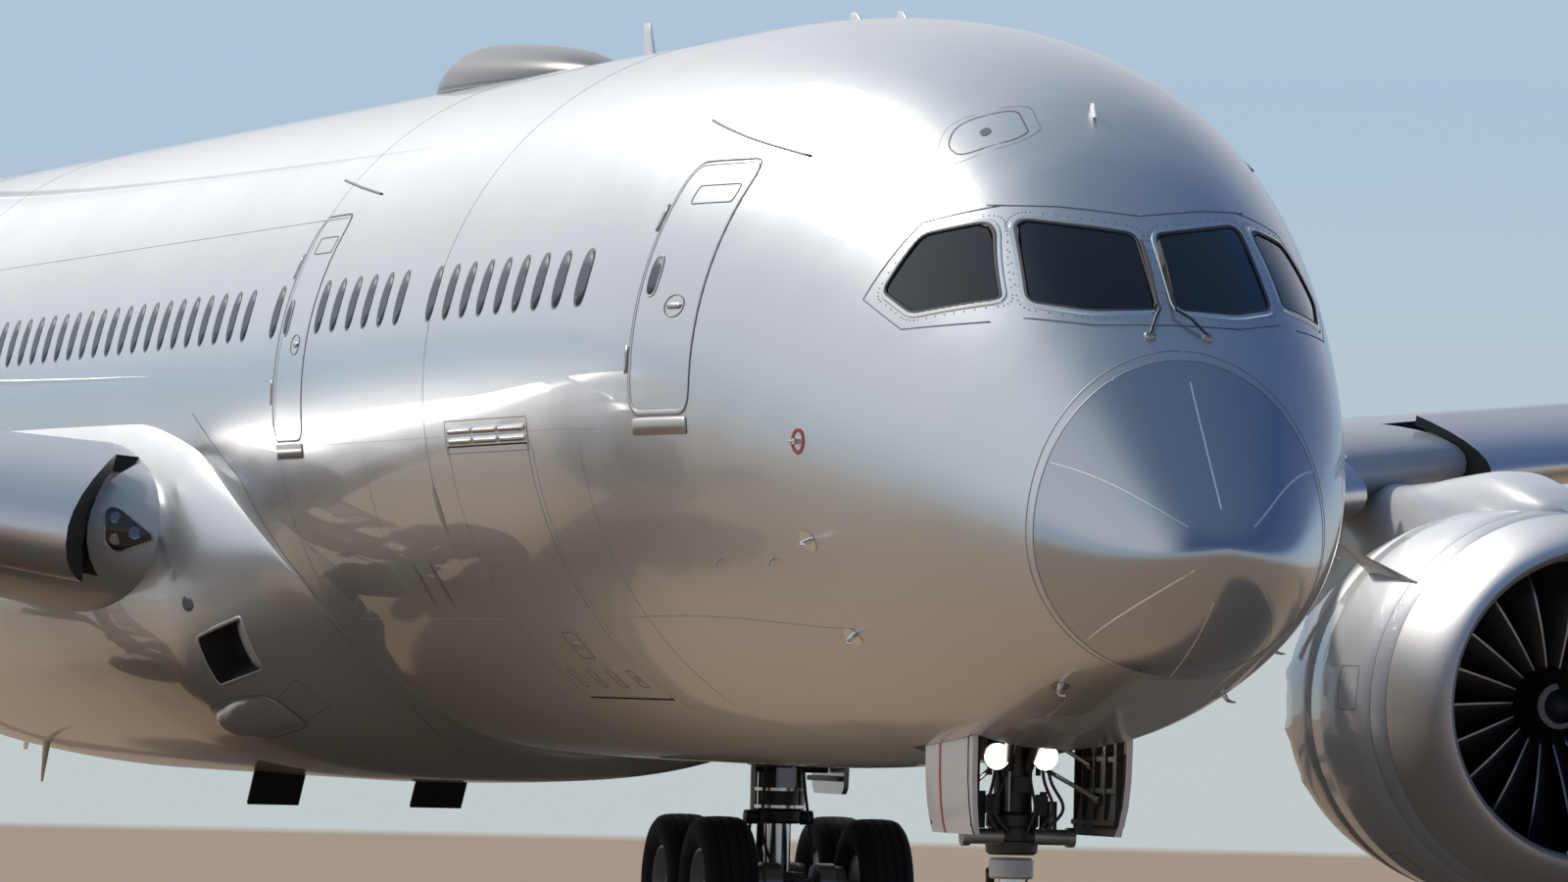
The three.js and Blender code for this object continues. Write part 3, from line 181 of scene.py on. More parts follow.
# Fan blades and spinner: dark composite, darkened further to near black as painted shade for the inside of
# the intake.
blade_dark_and_shade = make_finish("fan_composite", (0.010, 0.011, 0.013), metal=0.1, rough=0.45, coat=0.12, vary=0.2)
# Near-black painted shade for the walls of cuts and gaps, the nose doors' inner faces and the outlet doors;
# darker than any paint there.
cavity_painted_shade = make_finish("shadowed_cavity", (0.03, 0.03, 0.032), rough=0.75, vary=0.3)
bay_green = make_finish("bay_primer", (0.30, 0.31, 0.29), rough=0.6, vary=0.2, patch_size=4)
glass = make_finish("cockpit_glass", (0.006, 0.009, 0.014), metal=0.0, rough=0.08, coat=0.25, coat_rough=0.02,
                    vary=0.3, patch_size=2.5, rough_vary=0.02)
cabin_glass = make_finish("cabin_glass", (0.045, 0.065, 0.095), rough=0.5, coat=0.0, vary=0.25, patch_size=3)
seal = make_finish("rubber_seal", (0.06, 0.062, 0.065), rough=0.6, vary=0.2)
seam_shade = make_finish("panel_gap", (0.15, 0.16, 0.17), metal=0.2, rough=0.55, vary=0.15)
hairline = make_finish("lap_shade", (0.36, 0.37, 0.385), metal=0.5, rough=0.5, vary=0.1)
edge_white = make_finish("door_edge_enamel", (0.66, 0.68, 0.70), metal=0.2, rough=0.35, coat=0.3, vary=0.04)
steel = make_finish("steel_hardware", (0.42, 0.42, 0.41), metal=0.9, rough=0.35, vary=0.15, grain=0.08)
gear_paint = make_finish("gear_enamel", (0.55, 0.56, 0.56), metal=0.2, rough=0.38, coat=0.3, vary=0.15,
                         grain=0.05)
gear_dark = make_finish("greased_steel", (0.07, 0.068, 0.065), metal=0.6, rough=0.45, vary=0.35, grain=0.15)
tyre = make_finish("tyre_rubber", (0.022, 0.022, 0.023), rough=0.78, vary=0.3, grain=0.25, grain_size=120)
red = make_finish("warning_red", (0.45, 0.03, 0.035), rough=0.4, coat=0.2, vary=0.06)
bronze = make_finish("aerial_gelcoat", (0.125, 0.12, 0.12), metal=0.5, rough=0.32, coat=0.3, vary=0.06)
white_enamel = make_finish("white_enamel", (0.78, 0.79, 0.80), rough=0.35, coat=0.4, vary=0.05)
lamp_lens = make_finish("lit_lamp", (1.0, 0.93, 0.8), rough=0.2, glow=26.0)
lamp_glass = make_finish("lamp_glass", (0.2, 0.22, 0.24), metal=0.4, rough=0.08, coat=1.0)
print(len(bpy.data.materials), "finishes")

# %% [markdown]
# Glossy metal paint shows what stands around it, so the sky matters as much as the lamp. A low sun stands
# behind the starboard side, as on a clear afternoon: the sky is pale and bright on that side, and deep blue
# ahead and above. Two gradients by height, one for each side, are mixed by direction. The floor is plain
# and warm, and fades out.

# %% Sky, sun and floor
SUN_WAY = Vector((-0.68, -0.39, 0.62))
SUN_ENERGY, SUN_ANGLE, SUN_COLOUR = 2.0, math.radians(4), (1.0, 0.94, 0.86)
BRIGHT_WAY = Vector((-0.695, -0.72, 0.0))
SKY_CHANGE = (-0.1, 0.55)
SUN_SKY = [(0.0, (0.53, 0.59, 0.60)), (0.05, (0.41, 0.55, 0.69)), (0.075, (0.46, 0.58, 0.72)),
           (0.11, (0.76, 0.79, 0.83)), (0.3, (0.76, 0.79, 0.84)), (0.55, (0.69, 0.73, 0.80)),
           (0.8, (0.54, 0.60, 0.68)), (0.93, (0.24, 0.32, 0.44)), (1.0, (0.14, 0.21, 0.32))]
FAR_SKY = [(0.0, (0.50, 0.56, 0.58)), (0.045, (0.40, 0.53, 0.67)), (0.12, (0.11, 0.17, 0.31)),
           (0.5, (0.055, 0.11, 0.26)), (1.0, (0.13, 0.20, 0.31))]
world = bpy.data.worlds.new("afternoon_sky")
scene.world = world
world.use_nodes = True
sky = world.node_tree
sky_place = new_node(sky, "TexCoord", {}, {}).outputs["Generated"]
sky_split = new_node(sky, "SeparateXYZ", {}, {"Vector": sky_place})


def sky_gradient(rows):
    ramp = new_node(sky, "ValToRGB", {}, {"Fac": sky_split.outputs["Z"]})
    stops = ramp.color_ramp.elements
    stops[0].position, stops[0].color = rows[0][0], (*rows[0][1], 1)
    stops[1].position, stops[1].color = rows[-1][0], (*rows[-1][1], 1)
    for height, colour in rows[1:-1]:
        stops.new(height).color = (*colour, 1)
    return ramp.outputs["Color"]


toward_sun = new_node(sky, "VectorMath", {1: BRIGHT_WAY}, {0: sky_place}, operation="DOT_PRODUCT")
sun_share = new_node(sky, "MapRange", {"From Min": SKY_CHANGE[0], "From Max": SKY_CHANGE[1]},
                     {"Value": toward_sun.outputs["Value"]}, interpolation_type="SMOOTHSTEP")
sky_mix = new_node(sky, "Mix", {}, {"Factor": sun_share.outputs["Result"], "A": sky_gradient(FAR_SKY),
                                    "B": sky_gradient(SUN_SKY)}, data_type="RGBA")
set_inputs(sky, sky.nodes["Background"], {}, {"Color": sky_mix.outputs["Result"]})

sun_data = bpy.data.lights.new("low_sun", "SUN")
sun_data.energy, sun_data.angle, sun_data.color = SUN_ENERGY, SUN_ANGLE, SUN_COLOUR
sun = add_object("low_sun", sun_data)
sun.rotation_euler = SUN_WAY.to_track_quat("Z", "Y").to_euler()

FLOOR_REACH, FLOOR_FADE, FLOOR_GONE = 46.0, 40.0, 44.0
floor_paint = make_finish("pale_floor", (0.49, 0.35, 0.225), rough=0.85, vary=0.05, patch_size=0.15,
                          grain=0.15, grain_size=30)
floor_tree = floor_paint.node_tree
floor_place = new_node(floor_tree, "TexCoord", {}, {}).outputs["Object"]
floor_far = new_node(floor_tree, "VectorMath", {}, {0: floor_place}, operation="LENGTH")
floor_fade = new_node(floor_tree, "MapRange", {"From Min": FLOOR_FADE, "From Max": FLOOR_GONE,
                                               "To Min": 1.0, "To Max": 0.0},
                      {"Value": floor_far.outputs["Value"]})
set_inputs(floor_tree, floor_tree.nodes["Principled BSDF"], {}, {"Alpha": floor_fade.outputs["Result"]})
floor_mesh = bpy.data.meshes.new("floor")
floor_corners = [(a * FLOOR_REACH, b * FLOOR_REACH, 0) for a, b in ((-1, -1), (1, -1), (1, 1), (-1, 1))]
floor_mesh.from_pydata(floor_corners, [], [(0, 1, 2, 3)])
floor_mesh.materials.append(floor_paint)
floor = add_object("floor", floor_mesh)
scene.view_settings.view_transform = "Standard"
print("sky, sun and floor of", FLOOR_REACH, "m")

# %% [markdown]
# A mesh is points and the faces between them. Most pieces here are sheets that follow a law, such as a
# fuselage section or a wing's aerofoil, so a few helpers make rows of points into faces, join several
# sheets into one piece, crease what is sharp, and put the piece on the CAD body that it moves with.

# %% Mesh helpers
class Sheet:
    """Points and faces that are gathered into one piece, each face with a finish number."""

    def __init__(self):
        self.points, self.faces, self.picks = [], [], []

    def add(self, points, faces, pick=0):
        start = len(self.points)
        self.points.extend(Vector(p) for p in points)
        self.faces.extend(tuple(start + i for i in face) for face in faces)
        self.picks.extend([pick] * len(faces))
        return self

    def rows(self, rows, pick=0, closed=False, picks=None):
        """Faces between rows of equal length; closed joins each row's end to its start."""
        start, count = len(self.points), len(rows[0])
        for row in rows:
            self.points.extend(Vector(p) for p in row)
        reach = count if closed else count - 1
        for i in range(len(rows) - 1):
            for k in range(reach):
                a, b = start + i * count + k, start + i * count + (k + 1) % count
                self.faces.append((a, b, b + count, a + count))
                self.picks.append(pick if picks is None else picks[i])
        return self

    def cap(self, ring, pick=0):
        start = len(self.points)
        self.points.extend(Vector(p) for p in ring)
        self.faces.append(tuple(range(start, start + len(ring))))
        self.picks.append(pick)
        return self


def mesh_of(name, points, sheet):
    mesh = bpy.data.meshes.new(name)
    mesh.from_pydata([tuple(p) for p in points], [], sheet.faces)
    mesh.polygons.foreach_set("material_index", sheet.picks)
    return mesh


def place_piece(name, work, mesh, crease, finishes, body, stands_for):
    """A piece with smooth faces, whose edges are sharp where they bend more than the crease in degrees."""
    for face in work.faces:
        face.smooth = True
    limit = math.radians(crease)
    for edge in work.edges:
        edge.smooth = not (len(edge.link_faces) == 2 and edge.calc_face_angle(0) > limit)
    work.to_mesh(mesh)
    work.free()
    for material in finishes:
        mesh.materials.append(material)
    piece = add_object(name, mesh)
    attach(piece, body)
    if stands_for:
        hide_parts(*stands_for)
    return piece


def finish_piece(name, sheet, finishes, body="airframe", crease=35, outward=True, stands_for=()):
    mesh = mesh_of(name, sheet.points, sheet)
    work = bmesh.new()
    work.from_mesh(mesh)
    bmesh.ops.remove_doubles(work, verts=work.verts, dist=1e-5)
    bmesh.ops.dissolve_degenerate(work, edges=work.edges, dist=1e-5)
    if outward:
        bmesh.ops.recalc_face_normals(work, faces=work.faces)
    return place_piece(name, work, mesh, crease, finishes, body, stands_for)


def turned_rows(centre, axis, profile, count):
    """Rows about a line: profile is [distance along the line, radius]."""
    axis = Vector(axis).normalized()
    side = axis.orthogonal().normalized()
    other = axis.cross(side)
    angles = [2 * math.pi * k / count for k in range(count)]
    return [[centre + axis * a + (side * math.cos(t) + other * math.sin(t)) * r for t in angles]
            for a, r in profile]


def tube(sheet, path, radius, count=10, pick=0):
    """A round bar or hose through a few points, with closed ends."""
    path = [Vector(p) for p in path]
    frame_side = (path[1] - path[0]).orthogonal().normalized()
    rows = []
    for i, p in enumerate(path):
        ahead = path[min(i + 1, len(path) - 1)] - path[max(i - 1, 0)]
        ahead.normalize()
        frame_side = (frame_side - ahead * frame_side.dot(ahead)).normalized()
        other = ahead.cross(frame_side)
        size = radius[i] if isinstance(radius, (list, tuple)) else radius
        rows.append([p + (frame_side * math.cos(2 * math.pi * k / count)
                          + other * math.sin(2 * math.pi * k / count)) * size for k in range(count)])
    sheet.rows(rows, pick, closed=True)
    sheet.cap(rows[0], pick).cap(rows[-1], pick)
    return sheet


# %% [markdown]
# The fuselage is round in section, but its crown, keel and width each follow their own curve from the
# radome to the tail cone. A cubic curve through a few measured stations keeps the bend even, which matters
# on glossy paint. Near the nose the curves are drawn against the square root of the station, because a
# blunt nose starts upright.

# %% Fuselage law
# Station, crown height, keel height, half width, height of the widest line
NOSE = [(0, 3.69, 3.69, 0, 3.69), (0.3, 4.111, 3.136, 0.54, 3.646), (1.2, 5.012, 2.792, 1.062, 3.786),
        (2.4, 6.105, 2.55, 1.595, 4.123), (4.0, 7.056, 2.26, 2.06, 4.481), (6.5, 7.69, 2.11, 2.6, 4.95),
        (11, 7.95, 2.01, 2.885, 5.05)]
TAIL = [(42, 7.95, 2.01, 2.885, 5.05), (45.5, 7.95, 2.2, 2.86, 5.12), (48, 7.94, 2.75, 2.7, 5.4),
        (51, 7.88, 3.65, 2.35, 5.84), (54, 7.77, 4.62, 1.9, 6.24), (57, 7.6, 5.5, 1.38, 6.58),
        (59.5, 7.42, 6.18, 0.88, 6.82), (61.2, 7.26, 6.6, 0.48, 6.93), (61.9, 7.12, 6.8, 0.2, 6.96)]
RADOME_SEAM, TAIL_END = 1.25, 61.9


def curve_through(xs, ys, flat):
    """A smooth curve through points, flat at one end, "first" or "last", and free at the other."""
    xs, ys = np.array(xs, float), np.array(ys, float)
    count, gaps = len(xs), np.diff(xs)
    slopes = np.diff(ys) / gaps
    matrix, values = np.zeros((count, count)), np.zeros(count)
    for i in range(1, count - 1):
        matrix[i, i - 1:i + 2] = gaps[i - 1], 2 * (gaps[i - 1] + gaps[i]), gaps[i]
        values[i] = 6 * (slopes[i] - slopes[i - 1])
    matrix[0, 0] = matrix[-1, -1] = 1
    if flat == "last":
        matrix[-1, -2:] = gaps[-1], 2 * gaps[-1]
        values[-1] = -6 * slopes[-1]
    else:
        matrix[0, :2] = 2 * gaps[0], gaps[0]
        values[0] = 6 * slopes[0]
    bends = np.linalg.solve(matrix, values)

    def value(x):
        i = int(np.clip(np.searchsorted(xs, x) - 1, 0, count - 2))
        gap, a, b = gaps[i], xs[i + 1] - x, x - xs[i]
        return ((bends[i] * a ** 3 + bends[i + 1] * b ** 3) / (6 * gap)
                + (ys[i] / gap - bends[i] * gap / 6) * a + (ys[i + 1] / gap - bends[i + 1] * gap / 6) * b)

    return value


nose_curves = [curve_through([math.sqrt(row[0]) for row in NOSE], [row[c] for row in NOSE], "last")
               for c in (1, 2, 3, 4)]
tail_curves = [curve_through([row[0] for row in TAIL], [row[c] for row in TAIL], "first")
               for c in (1, 2, 3, 4)]


def section(station):
    """Crown, keel, half width and height of the widest line."""
    if station < NOSE[-1][0]:
        return [curve(math.sqrt(max(station, 0.0))) for curve in nose_curves]
    if station > TAIL[0][0]:
        return [curve(station) for curve in tail_curves]
    return list(NOSE[-1][1:])


def quarter(station, height):
    """Half width, height of the widest line, and the reach from there to the crown or to the keel."""
    crown, keel, half, wide = section(station)
    return half, wide, crown - wide if height > wide else wide - keel


def skin_place(station, turn):
    crown, keel, half, wide = section(station)
    rise = crown - wide if math.cos(turn) > 0 else wide - keel
    return spot(station, math.sin(turn) * half, wide + math.cos(turn) * rise)


def skin(station, turn):
    """A point of the skin, and the way out of it. Turn is 0 at the crown and grows to port."""
    step = 1e-3
    along = skin_place(station + step, turn) - skin_place(max(station - step, 1e-6), turn)
    around = skin_place(station, turn + step) - skin_place(station, turn - step)
    return skin_place(station, turn), around.cross(along).normalized()


def on_side(side):
    """Places by station and height, on the left or right of the fuselage."""
    def place(station, height):
        _, wide, rise = quarter(station, height)
        return skin(station, side * math.acos(max(-1.0, min(1.0, (height - wide) / rise))))
    return place


def on_front(y, height):
    """Places by distance off the centre and height, seen from ahead."""
    near, far = 0.0, 12.0
    for _ in range(40):
        middle = (near + far) / 2
        half, wide, rise = quarter(middle, height)
        inside = (y / max(half, 1e-9)) ** 2 + ((height - wide) / max(rise, 1e-9)) ** 2 < 1
        near, far = (near, middle) if inside else (middle, far)
    half, wide, rise = quarter(far, height)
    return skin(far, math.atan2(y / half, (height - wide) / rise))


print("crown at door 1", round(section(6.47)[0], 2), "m")

# %% [markdown]
# Skin panels, window frames and glass are all thin things that follow a curved surface. A patch fills a
# flat outline with small faces and lays each point on the surface. A line lays a narrow band along a path,
# a millimetre proud, so that it reads as a groove, an edge or a rubbing strip without cutting the skin.

# %% Patches and lines on a surface
CORNER_STEPS = 5


def rounded(corners, radius):
    """A closed outline with its corners rounded."""
    corners = [Vector(c) for c in corners]
    outline = []
    for i, corner in enumerate(corners):
        before, after = corners[i - 1] - corner, corners[(i + 1) % len(corners)] - corner
        reach = min(radius, before.length / 2.05, after.length / 2.05)
        a, b = corner + before.normalized() * reach, corner + after.normalized() * reach
        for k in range(CORNER_STEPS + 1):
            t = k / CORNER_STEPS
            outline.append((a * (1 - t) ** 2) + corner * (2 * t * (1 - t)) + b * t ** 2)
    return outline


def oval(centre, width, height, power=2.6, count=28):
    outline = []
    for k in range(count):
        c, s = math.cos(2 * math.pi * k / count), math.sin(2 * math.pi * k / count)
        outline.append(Vector((centre[0] + width / 2 * math.copysign(abs(c) ** (2 / power), c),
                               centre[1] + height / 2 * math.copysign(abs(s) ** (2 / power), s))))
    return outline


def rectangle(centre, width, height, radius):
    w, h = width / 2, height / 2
    corners = [(centre[0] + a * w, centre[1] + b * h) for a, b in ((-1, -1), (1, -1), (1, 1), (-1, 1))]
    return rounded(corners, radius)


def patch(sheet, outline, place, lift, columns=10, levels=6, pick=0):
    """Fills an outline with faces on the surface. Each upright line may cross the outline only twice."""
    low, high = min(p[0] for p in outline), max(p[0] for p in outline)
    grid = []
    for i in range(columns + 1):
        a = low + (high - low) * (0.5 - 0.4995 * math.cos(math.pi * i / columns))
        cuts = []
        for j, p in enumerate(outline):
            q = outline[(j + 1) % len(outline)]
            if (p[0] - a) * (q[0] - a) <= 0 and p[0] != q[0]:
                cuts.append(p[1] + (q[1] - p[1]) * (a - p[0]) / (q[0] - p[0]))
        row = []
        for j in range(levels + 1):
            at, out = place(a, min(cuts) + (max(cuts) - min(cuts)) * j / levels)
            row.append(at + out * lift)
        grid.append(row)
    sheet.rows(grid, pick)
    return sheet


def walk(line, step, closed=False):
    line = [Vector(p) for p in line]
    ends = list(zip(line, line[1:] + line[:1])) if closed else list(zip(line, line[1:]))
    points = []
    for a, b in ends:
        count = max(1, math.ceil((b - a).length / step))
        points.extend(a.lerp(b, k / count) for k in range(count))
    return points if closed else [*points, line[-1]]


def band(sheet, line, place, width, lift, step=0.12, closed=False, pick=0, thick=0.0):
    """A narrow strip along a path on the surface. Width and lift are in the frame's metres."""
    spots = [place(*p[:2]) for p in walk(line, step, closed)]
    rows = []
    for i, (at, out) in enumerate(spots):
        before = spots[i - 1][0] if i or closed else at
        after = spots[(i + 1) % len(spots)][0] if i + 1 < len(spots) or closed else at
        side = (after - before).cross(out).normalized() * width / 2
        if thick:
            rows.append([at - side * 1.5, at - side + out * thick, at + side + out * thick, at + side * 1.5])
        else:
            rows.append([at - side + out * lift, at + side + out * lift])
    if closed:
        rows.append(rows[0])
    sheet.rows(rows, pick)
    return sheet


SKIN_LIFT = 0.0012


def groove(sheet, outline, place, width, step=0.12, pick=0):
    """A closed line on the surface."""
    band(sheet, outline, place, width, SKIN_LIFT, step, closed=True, pick=pick)


def slab(outline, place, low, high, columns, levels):
    """The same fill as a closed plate between two depths under and over the surface."""
    under, over = (patch(Sheet(), outline, place, lift, columns, levels).points for lift in (low, high))
    size = levels + 1
    rings = [under[i:i + size] + over[i:i + size][::-1] for i in range(0, len(under), size)]
    return Sheet().rows(rings, closed=True).cap(rings[0]).cap(rings[-1])


def welded(mesh, materials):
    """Joins a mesh's doubled points and turns its faces outward."""
    work = bmesh.new()
    work.from_mesh(mesh)
    bmesh.ops.remove_doubles(work, verts=work.verts, dist=1e-6)
    bmesh.ops.recalc_face_normals(work, faces=work.faces)
    work.to_mesh(mesh)
    work.free()
    for material in materials:
        mesh.materials.append(material)
    return mesh


def boolean(base, tool, operation="DIFFERENCE"):
    pieces = [add_object("boolean", mesh) for mesh in (base, tool)]
    step = pieces[0].modifiers.new("step", "BOOLEAN")
    step.operation, step.solver, step.object = operation, "EXACT", pieces[1]
    bpy.context.view_layer.update()
    seen = pieces[0].evaluated_get(bpy.context.evaluated_depsgraph_get())
    result = bpy.data.meshes.new_from_object(seen)
    for piece in pieces:
        bpy.data.objects.remove(piece)
    return result


def carve(piece, cutter, pick):
    """Cuts a closed sheet's shape out of a piece and gives the walls of the cut their own finish."""
    cutter.picks = [pick] * len(cutter.faces)
    tool = welded(mesh_of("cutter", cutter.points, cutter), piece.data.materials)
    piece.data = boolean(piece.data, tool)


def thicken(piece, depth):
    plate = piece.modifiers.new("thickness", "SOLIDIFY")
    plate.thickness, plate.offset = depth, 0.0


def thin_piece(name, sheet, finishes, depth, body="airframe", crease=35):
    """Strips and patches on a surface, as one piece of thin plates."""
    thicken(finish_piece(name, sheet, finishes, body, crease, outward=False), depth)


print("patch, slab, band and carve ready")

# %% [markdown]
# The fuselage skin is one smooth tube in four lengths: the radome, which is a plastic cap over the weather
# radar, then the forward, middle and aft barrels. Each length is a closed loft through many rings, so light
# runs along it without a facet. The nose gear bay, the cargo holds and the seats of the cockpit panes are
# cut out of it.

# %% Fuselage barrels
AROUND = 144
FORWARD_JOINT, AFT_JOINT = 13.2, 41.6
BAY = {"from": 4.3, "to": 6.1, "half": 0.64, "roof": 3.3}
CARGO = {"forward": (11.08, 3.52, 2.7, 2.0), "aft": (45.6, 3.95, 2.6, 1.6)}
HOLD_DEPTH, SKIN_DEPTH = 1.62, 0.14
BARREL_HALF = 2.885


def barrel(name, stations, finish, node):
    sheet = Sheet()
    rings = [[skin_place(s, 2 * math.pi * k / AROUND) for k in range(AROUND)] for s in stations]
    sheet.rows(rings, closed=True)
    sheet.cap(rings[0]).cap(rings[-1])
    return finish_piece(name, sheet, [finish, cavity_painted_shade, bay_green, seal], stands_for=[node], crease=40)


def spread(first, last, count):
    return [first + (last - first) * k / count for k in range(count + 1)]


nose_rings = [RADOME_SEAM * (k / 26) ** 2 for k in range(1, 27)]
# The radome takes the darker, bluer finish of painted reflection.
radome = barrel("radome_cap", [0.0004, *nose_rings[:-1], RADOME_SEAM - 0.004], radome_paint_and_reflection, "radome")
forward_rings = [*spread(RADOME_SEAM + 0.004, 8.0, 90), *spread(8.0, FORWARD_JOINT, 12)[1:]]
skin_forward = barrel("skin_forward", forward_rings, mica, "fuselage_forward")
skin_middle = barrel("skin_middle", spread(FORWARD_JOINT + 0.002, AFT_JOINT, 14), mica, "fuselage_centre")
skin_aft = barrel("skin_aft", [*spread(AFT_JOINT + 0.002, TAIL_END, 80)], mica, "fuselage_aft")


def box_sheet(low, high):
    """A closed box between two opposite corners, as station, distance off the centre and height."""
    corners = [(low[1], low[2]), (high[1], low[2]), (high[1], high[2]), (low[1], high[2])]
    rows = [[spot(s, y, z) for y, z in corners] for s in (low[0], high[0])]
    return Sheet().rows(rows, closed=True).cap(rows[0]).cap(rows[1])


carve(skin_forward, box_sheet((BAY["from"], -BAY["half"], 1.6), (BAY["to"], BAY["half"], BAY["roof"])), 2)
for where, barrel_piece in (("forward", skin_forward), ("aft", skin_aft)):
    station, height, width, tall = CARGO[where]
    low = (station - width / 2, -3.2, height - tall / 2)
    high = (station + width / 2, HOLD_DEPTH - BARREL_HALF, height + tall / 2)
    carve(barrel_piece, box_sheet(low, high), 2)
print("fuselage faces", sum(len(p.data.polygons) for p in (radome, skin_forward, skin_middle, skin_aft)))

# %% [markdown]
# The cockpit has two flat pairs of panes: the front ones, seen from ahead, and the side ones, seen from the
# side. Each is thick dark glass in a metal frame that is screwed over the skin. The seat of a pane is cut
# out first, the glass is a plate that lies just below the skin, and a rubber seal runs between the glass
# and the frame.

# %% Cockpit glazing
FRONT_PANE = [(0.075, 5.44), (0.55, 5.42), (0.92, 5.48), (0.86, 6.05), (0.79, 6.1), (0.075, 6.0)]
SIDE_PANE = [(2.3, 5.5), (3.0, 5.4), (3.43, 5.57), (3.37, 5.99), (2.93, 6.08), (2.8, 6.0)]
SEAT_FLOOR, PANE_FACE = -0.03, -0.004
SCREW_HEAD = [(0.0, 0.0036), (0.0012, 0.0034), (0.0013, 0.0)]


def grown(outline, amount):
    """The outline moved outward by an amount, corner by corner."""
    centre = sum((Vector(p) for p in outline), Vector((0, 0))) / len(outline)
    moved = []
    for i, p in enumerate(outline):
        p, before, after = Vector(p), Vector(outline[i - 1]), Vector(outline[(i + 1) % len(outline)])
        normals = []
        for a, b in ((before, p), (p, after)):
            way = (b - a).normalized()
            normal = Vector((way.y, -way.x))
            normals.append(normal if normal.dot(p - centre) > 0 else -normal)
        middle = (normals[0] + normals[1]).normalized()
        moved.append(p + middle * amount / max(0.5, middle.dot(normals[0])))
    return moved


for word, side in SIDES.items():
    views = {"windshield": ([(side * y, z) for y, z in FRONT_PANE], on_front),
             "side_window": (SIDE_PANE, on_side(side))}
    for kind, (outline, place) in views.items():
        carve(skin_forward, slab(rounded(outline, 0.07), place, SEAT_FLOOR, 0.08, 16, 8), 3)
        pane = slab(rounded(grown(outline, -0.012), 0.06), place, SEAT_FLOOR, PANE_FACE, 16, 8)
        finish_piece(f"{kind}_glass_{word}", pane, [glass], crease=50, stands_for=[f"{kind}_{word}"])
        rim = Sheet()
        band(rim, rounded(grown(outline, 0.024), 0.09), place, 0.014, 0, step=0.06, closed=True, thick=0.003)
        band(rim, rounded(grown(outline, 0.004), 0.07), place, 0.010, 0, step=0.06, closed=True, thick=0.003,
             pick=1)
        for p in walk(rounded(grown(outline, 0.062), 0.1), 0.085, closed=True):
            at, out = place(*p)
            rim.rows(turned_rows(at, out, SCREW_HEAD, 8), 2, closed=True)
        finish_piece(f"{kind}_frame_{word}", rim, [bright_metal, seal, steel], outward=False)
    surround = Sheet()
    side_path = [(2.96, 6.21), (3.46, 6.08), (3.62, 5.51), (3.04, 5.28), (2.25, 5.33)]
    for path, place in ((side_path, on_side(side)),
                        ([(side * 0.98, 6.21), (side * 0.55, 6.20), (0, 6.14)], on_front),
                        ([(side * 0.97, 5.36), (side * 0.55, 5.31), (0, 5.32)], on_front)):
        band(surround, path, place, 0.004, SKIN_LIFT, step=0.06)
    thin_piece(f"cockpit_surround_{word}", surround, [seam_shade], 0.0006)
print("cockpit panes done")

# %% [markdown]
# Cabin windows repeat every 0.6 metres along the belt, except where a door or a blank frame stands. Each is
# an oval slate pane with a thin dark flange round it. One loop makes both sides.

# %% Cabin windows
WINDOW_FIRST, WINDOW_PITCH, WINDOW_HEIGHT = 8.424, 0.6077, 5.775
DOORS = {"door_1": (6.47, 5.66), "door_2": (18.45, 5.62), "door_3": (36.0, 5.62), "door_4": (50.3, 5.7)}
DOOR_WIDTH, DOOR_TALL = 1.16, 1.95
BLANK = {9, 19, 44, 60}


def has_window(k):
    station = WINDOW_FIRST + WINDOW_PITCH * k
    clear = all(abs(station - s) > DOOR_WIDTH / 2 + 0.3 for s, _ in DOORS.values())
    return clear and k not in BLANK


window_stations = [WINDOW_FIRST + WINDOW_PITCH * k for k in range(69) if has_window(k)]
for word, side in SIDES.items():
    place = on_side(side)
    panes, flanges = Sheet(), Sheet()
    for station in window_stations:
        centre = (station, WINDOW_HEIGHT)
        patch(panes, oval(centre, 0.275, 0.44), place, 0.0008, 6, 4)
        band(flanges, oval(centre, 0.285, 0.455), place, 0.004, 0, step=0.2, closed=True, thick=0.0004)
    thin_piece(f"cabin_panes_{word}", panes, [cabin_glass], 0.0014)
    finish_piece(f"window_flanges_{word}", flanges, [seam_shade], outward=False, crease=20)
print(len(window_stations), "windows a side")

# %% [markdown]
# A passenger door is a plug of skin. What shows is a dark gap all round, a pale painted edge, a small pane,
# a flush handle in its pocket, a vent panel over the top, a rain gutter and a bare metal scuff plate under
# the sill.

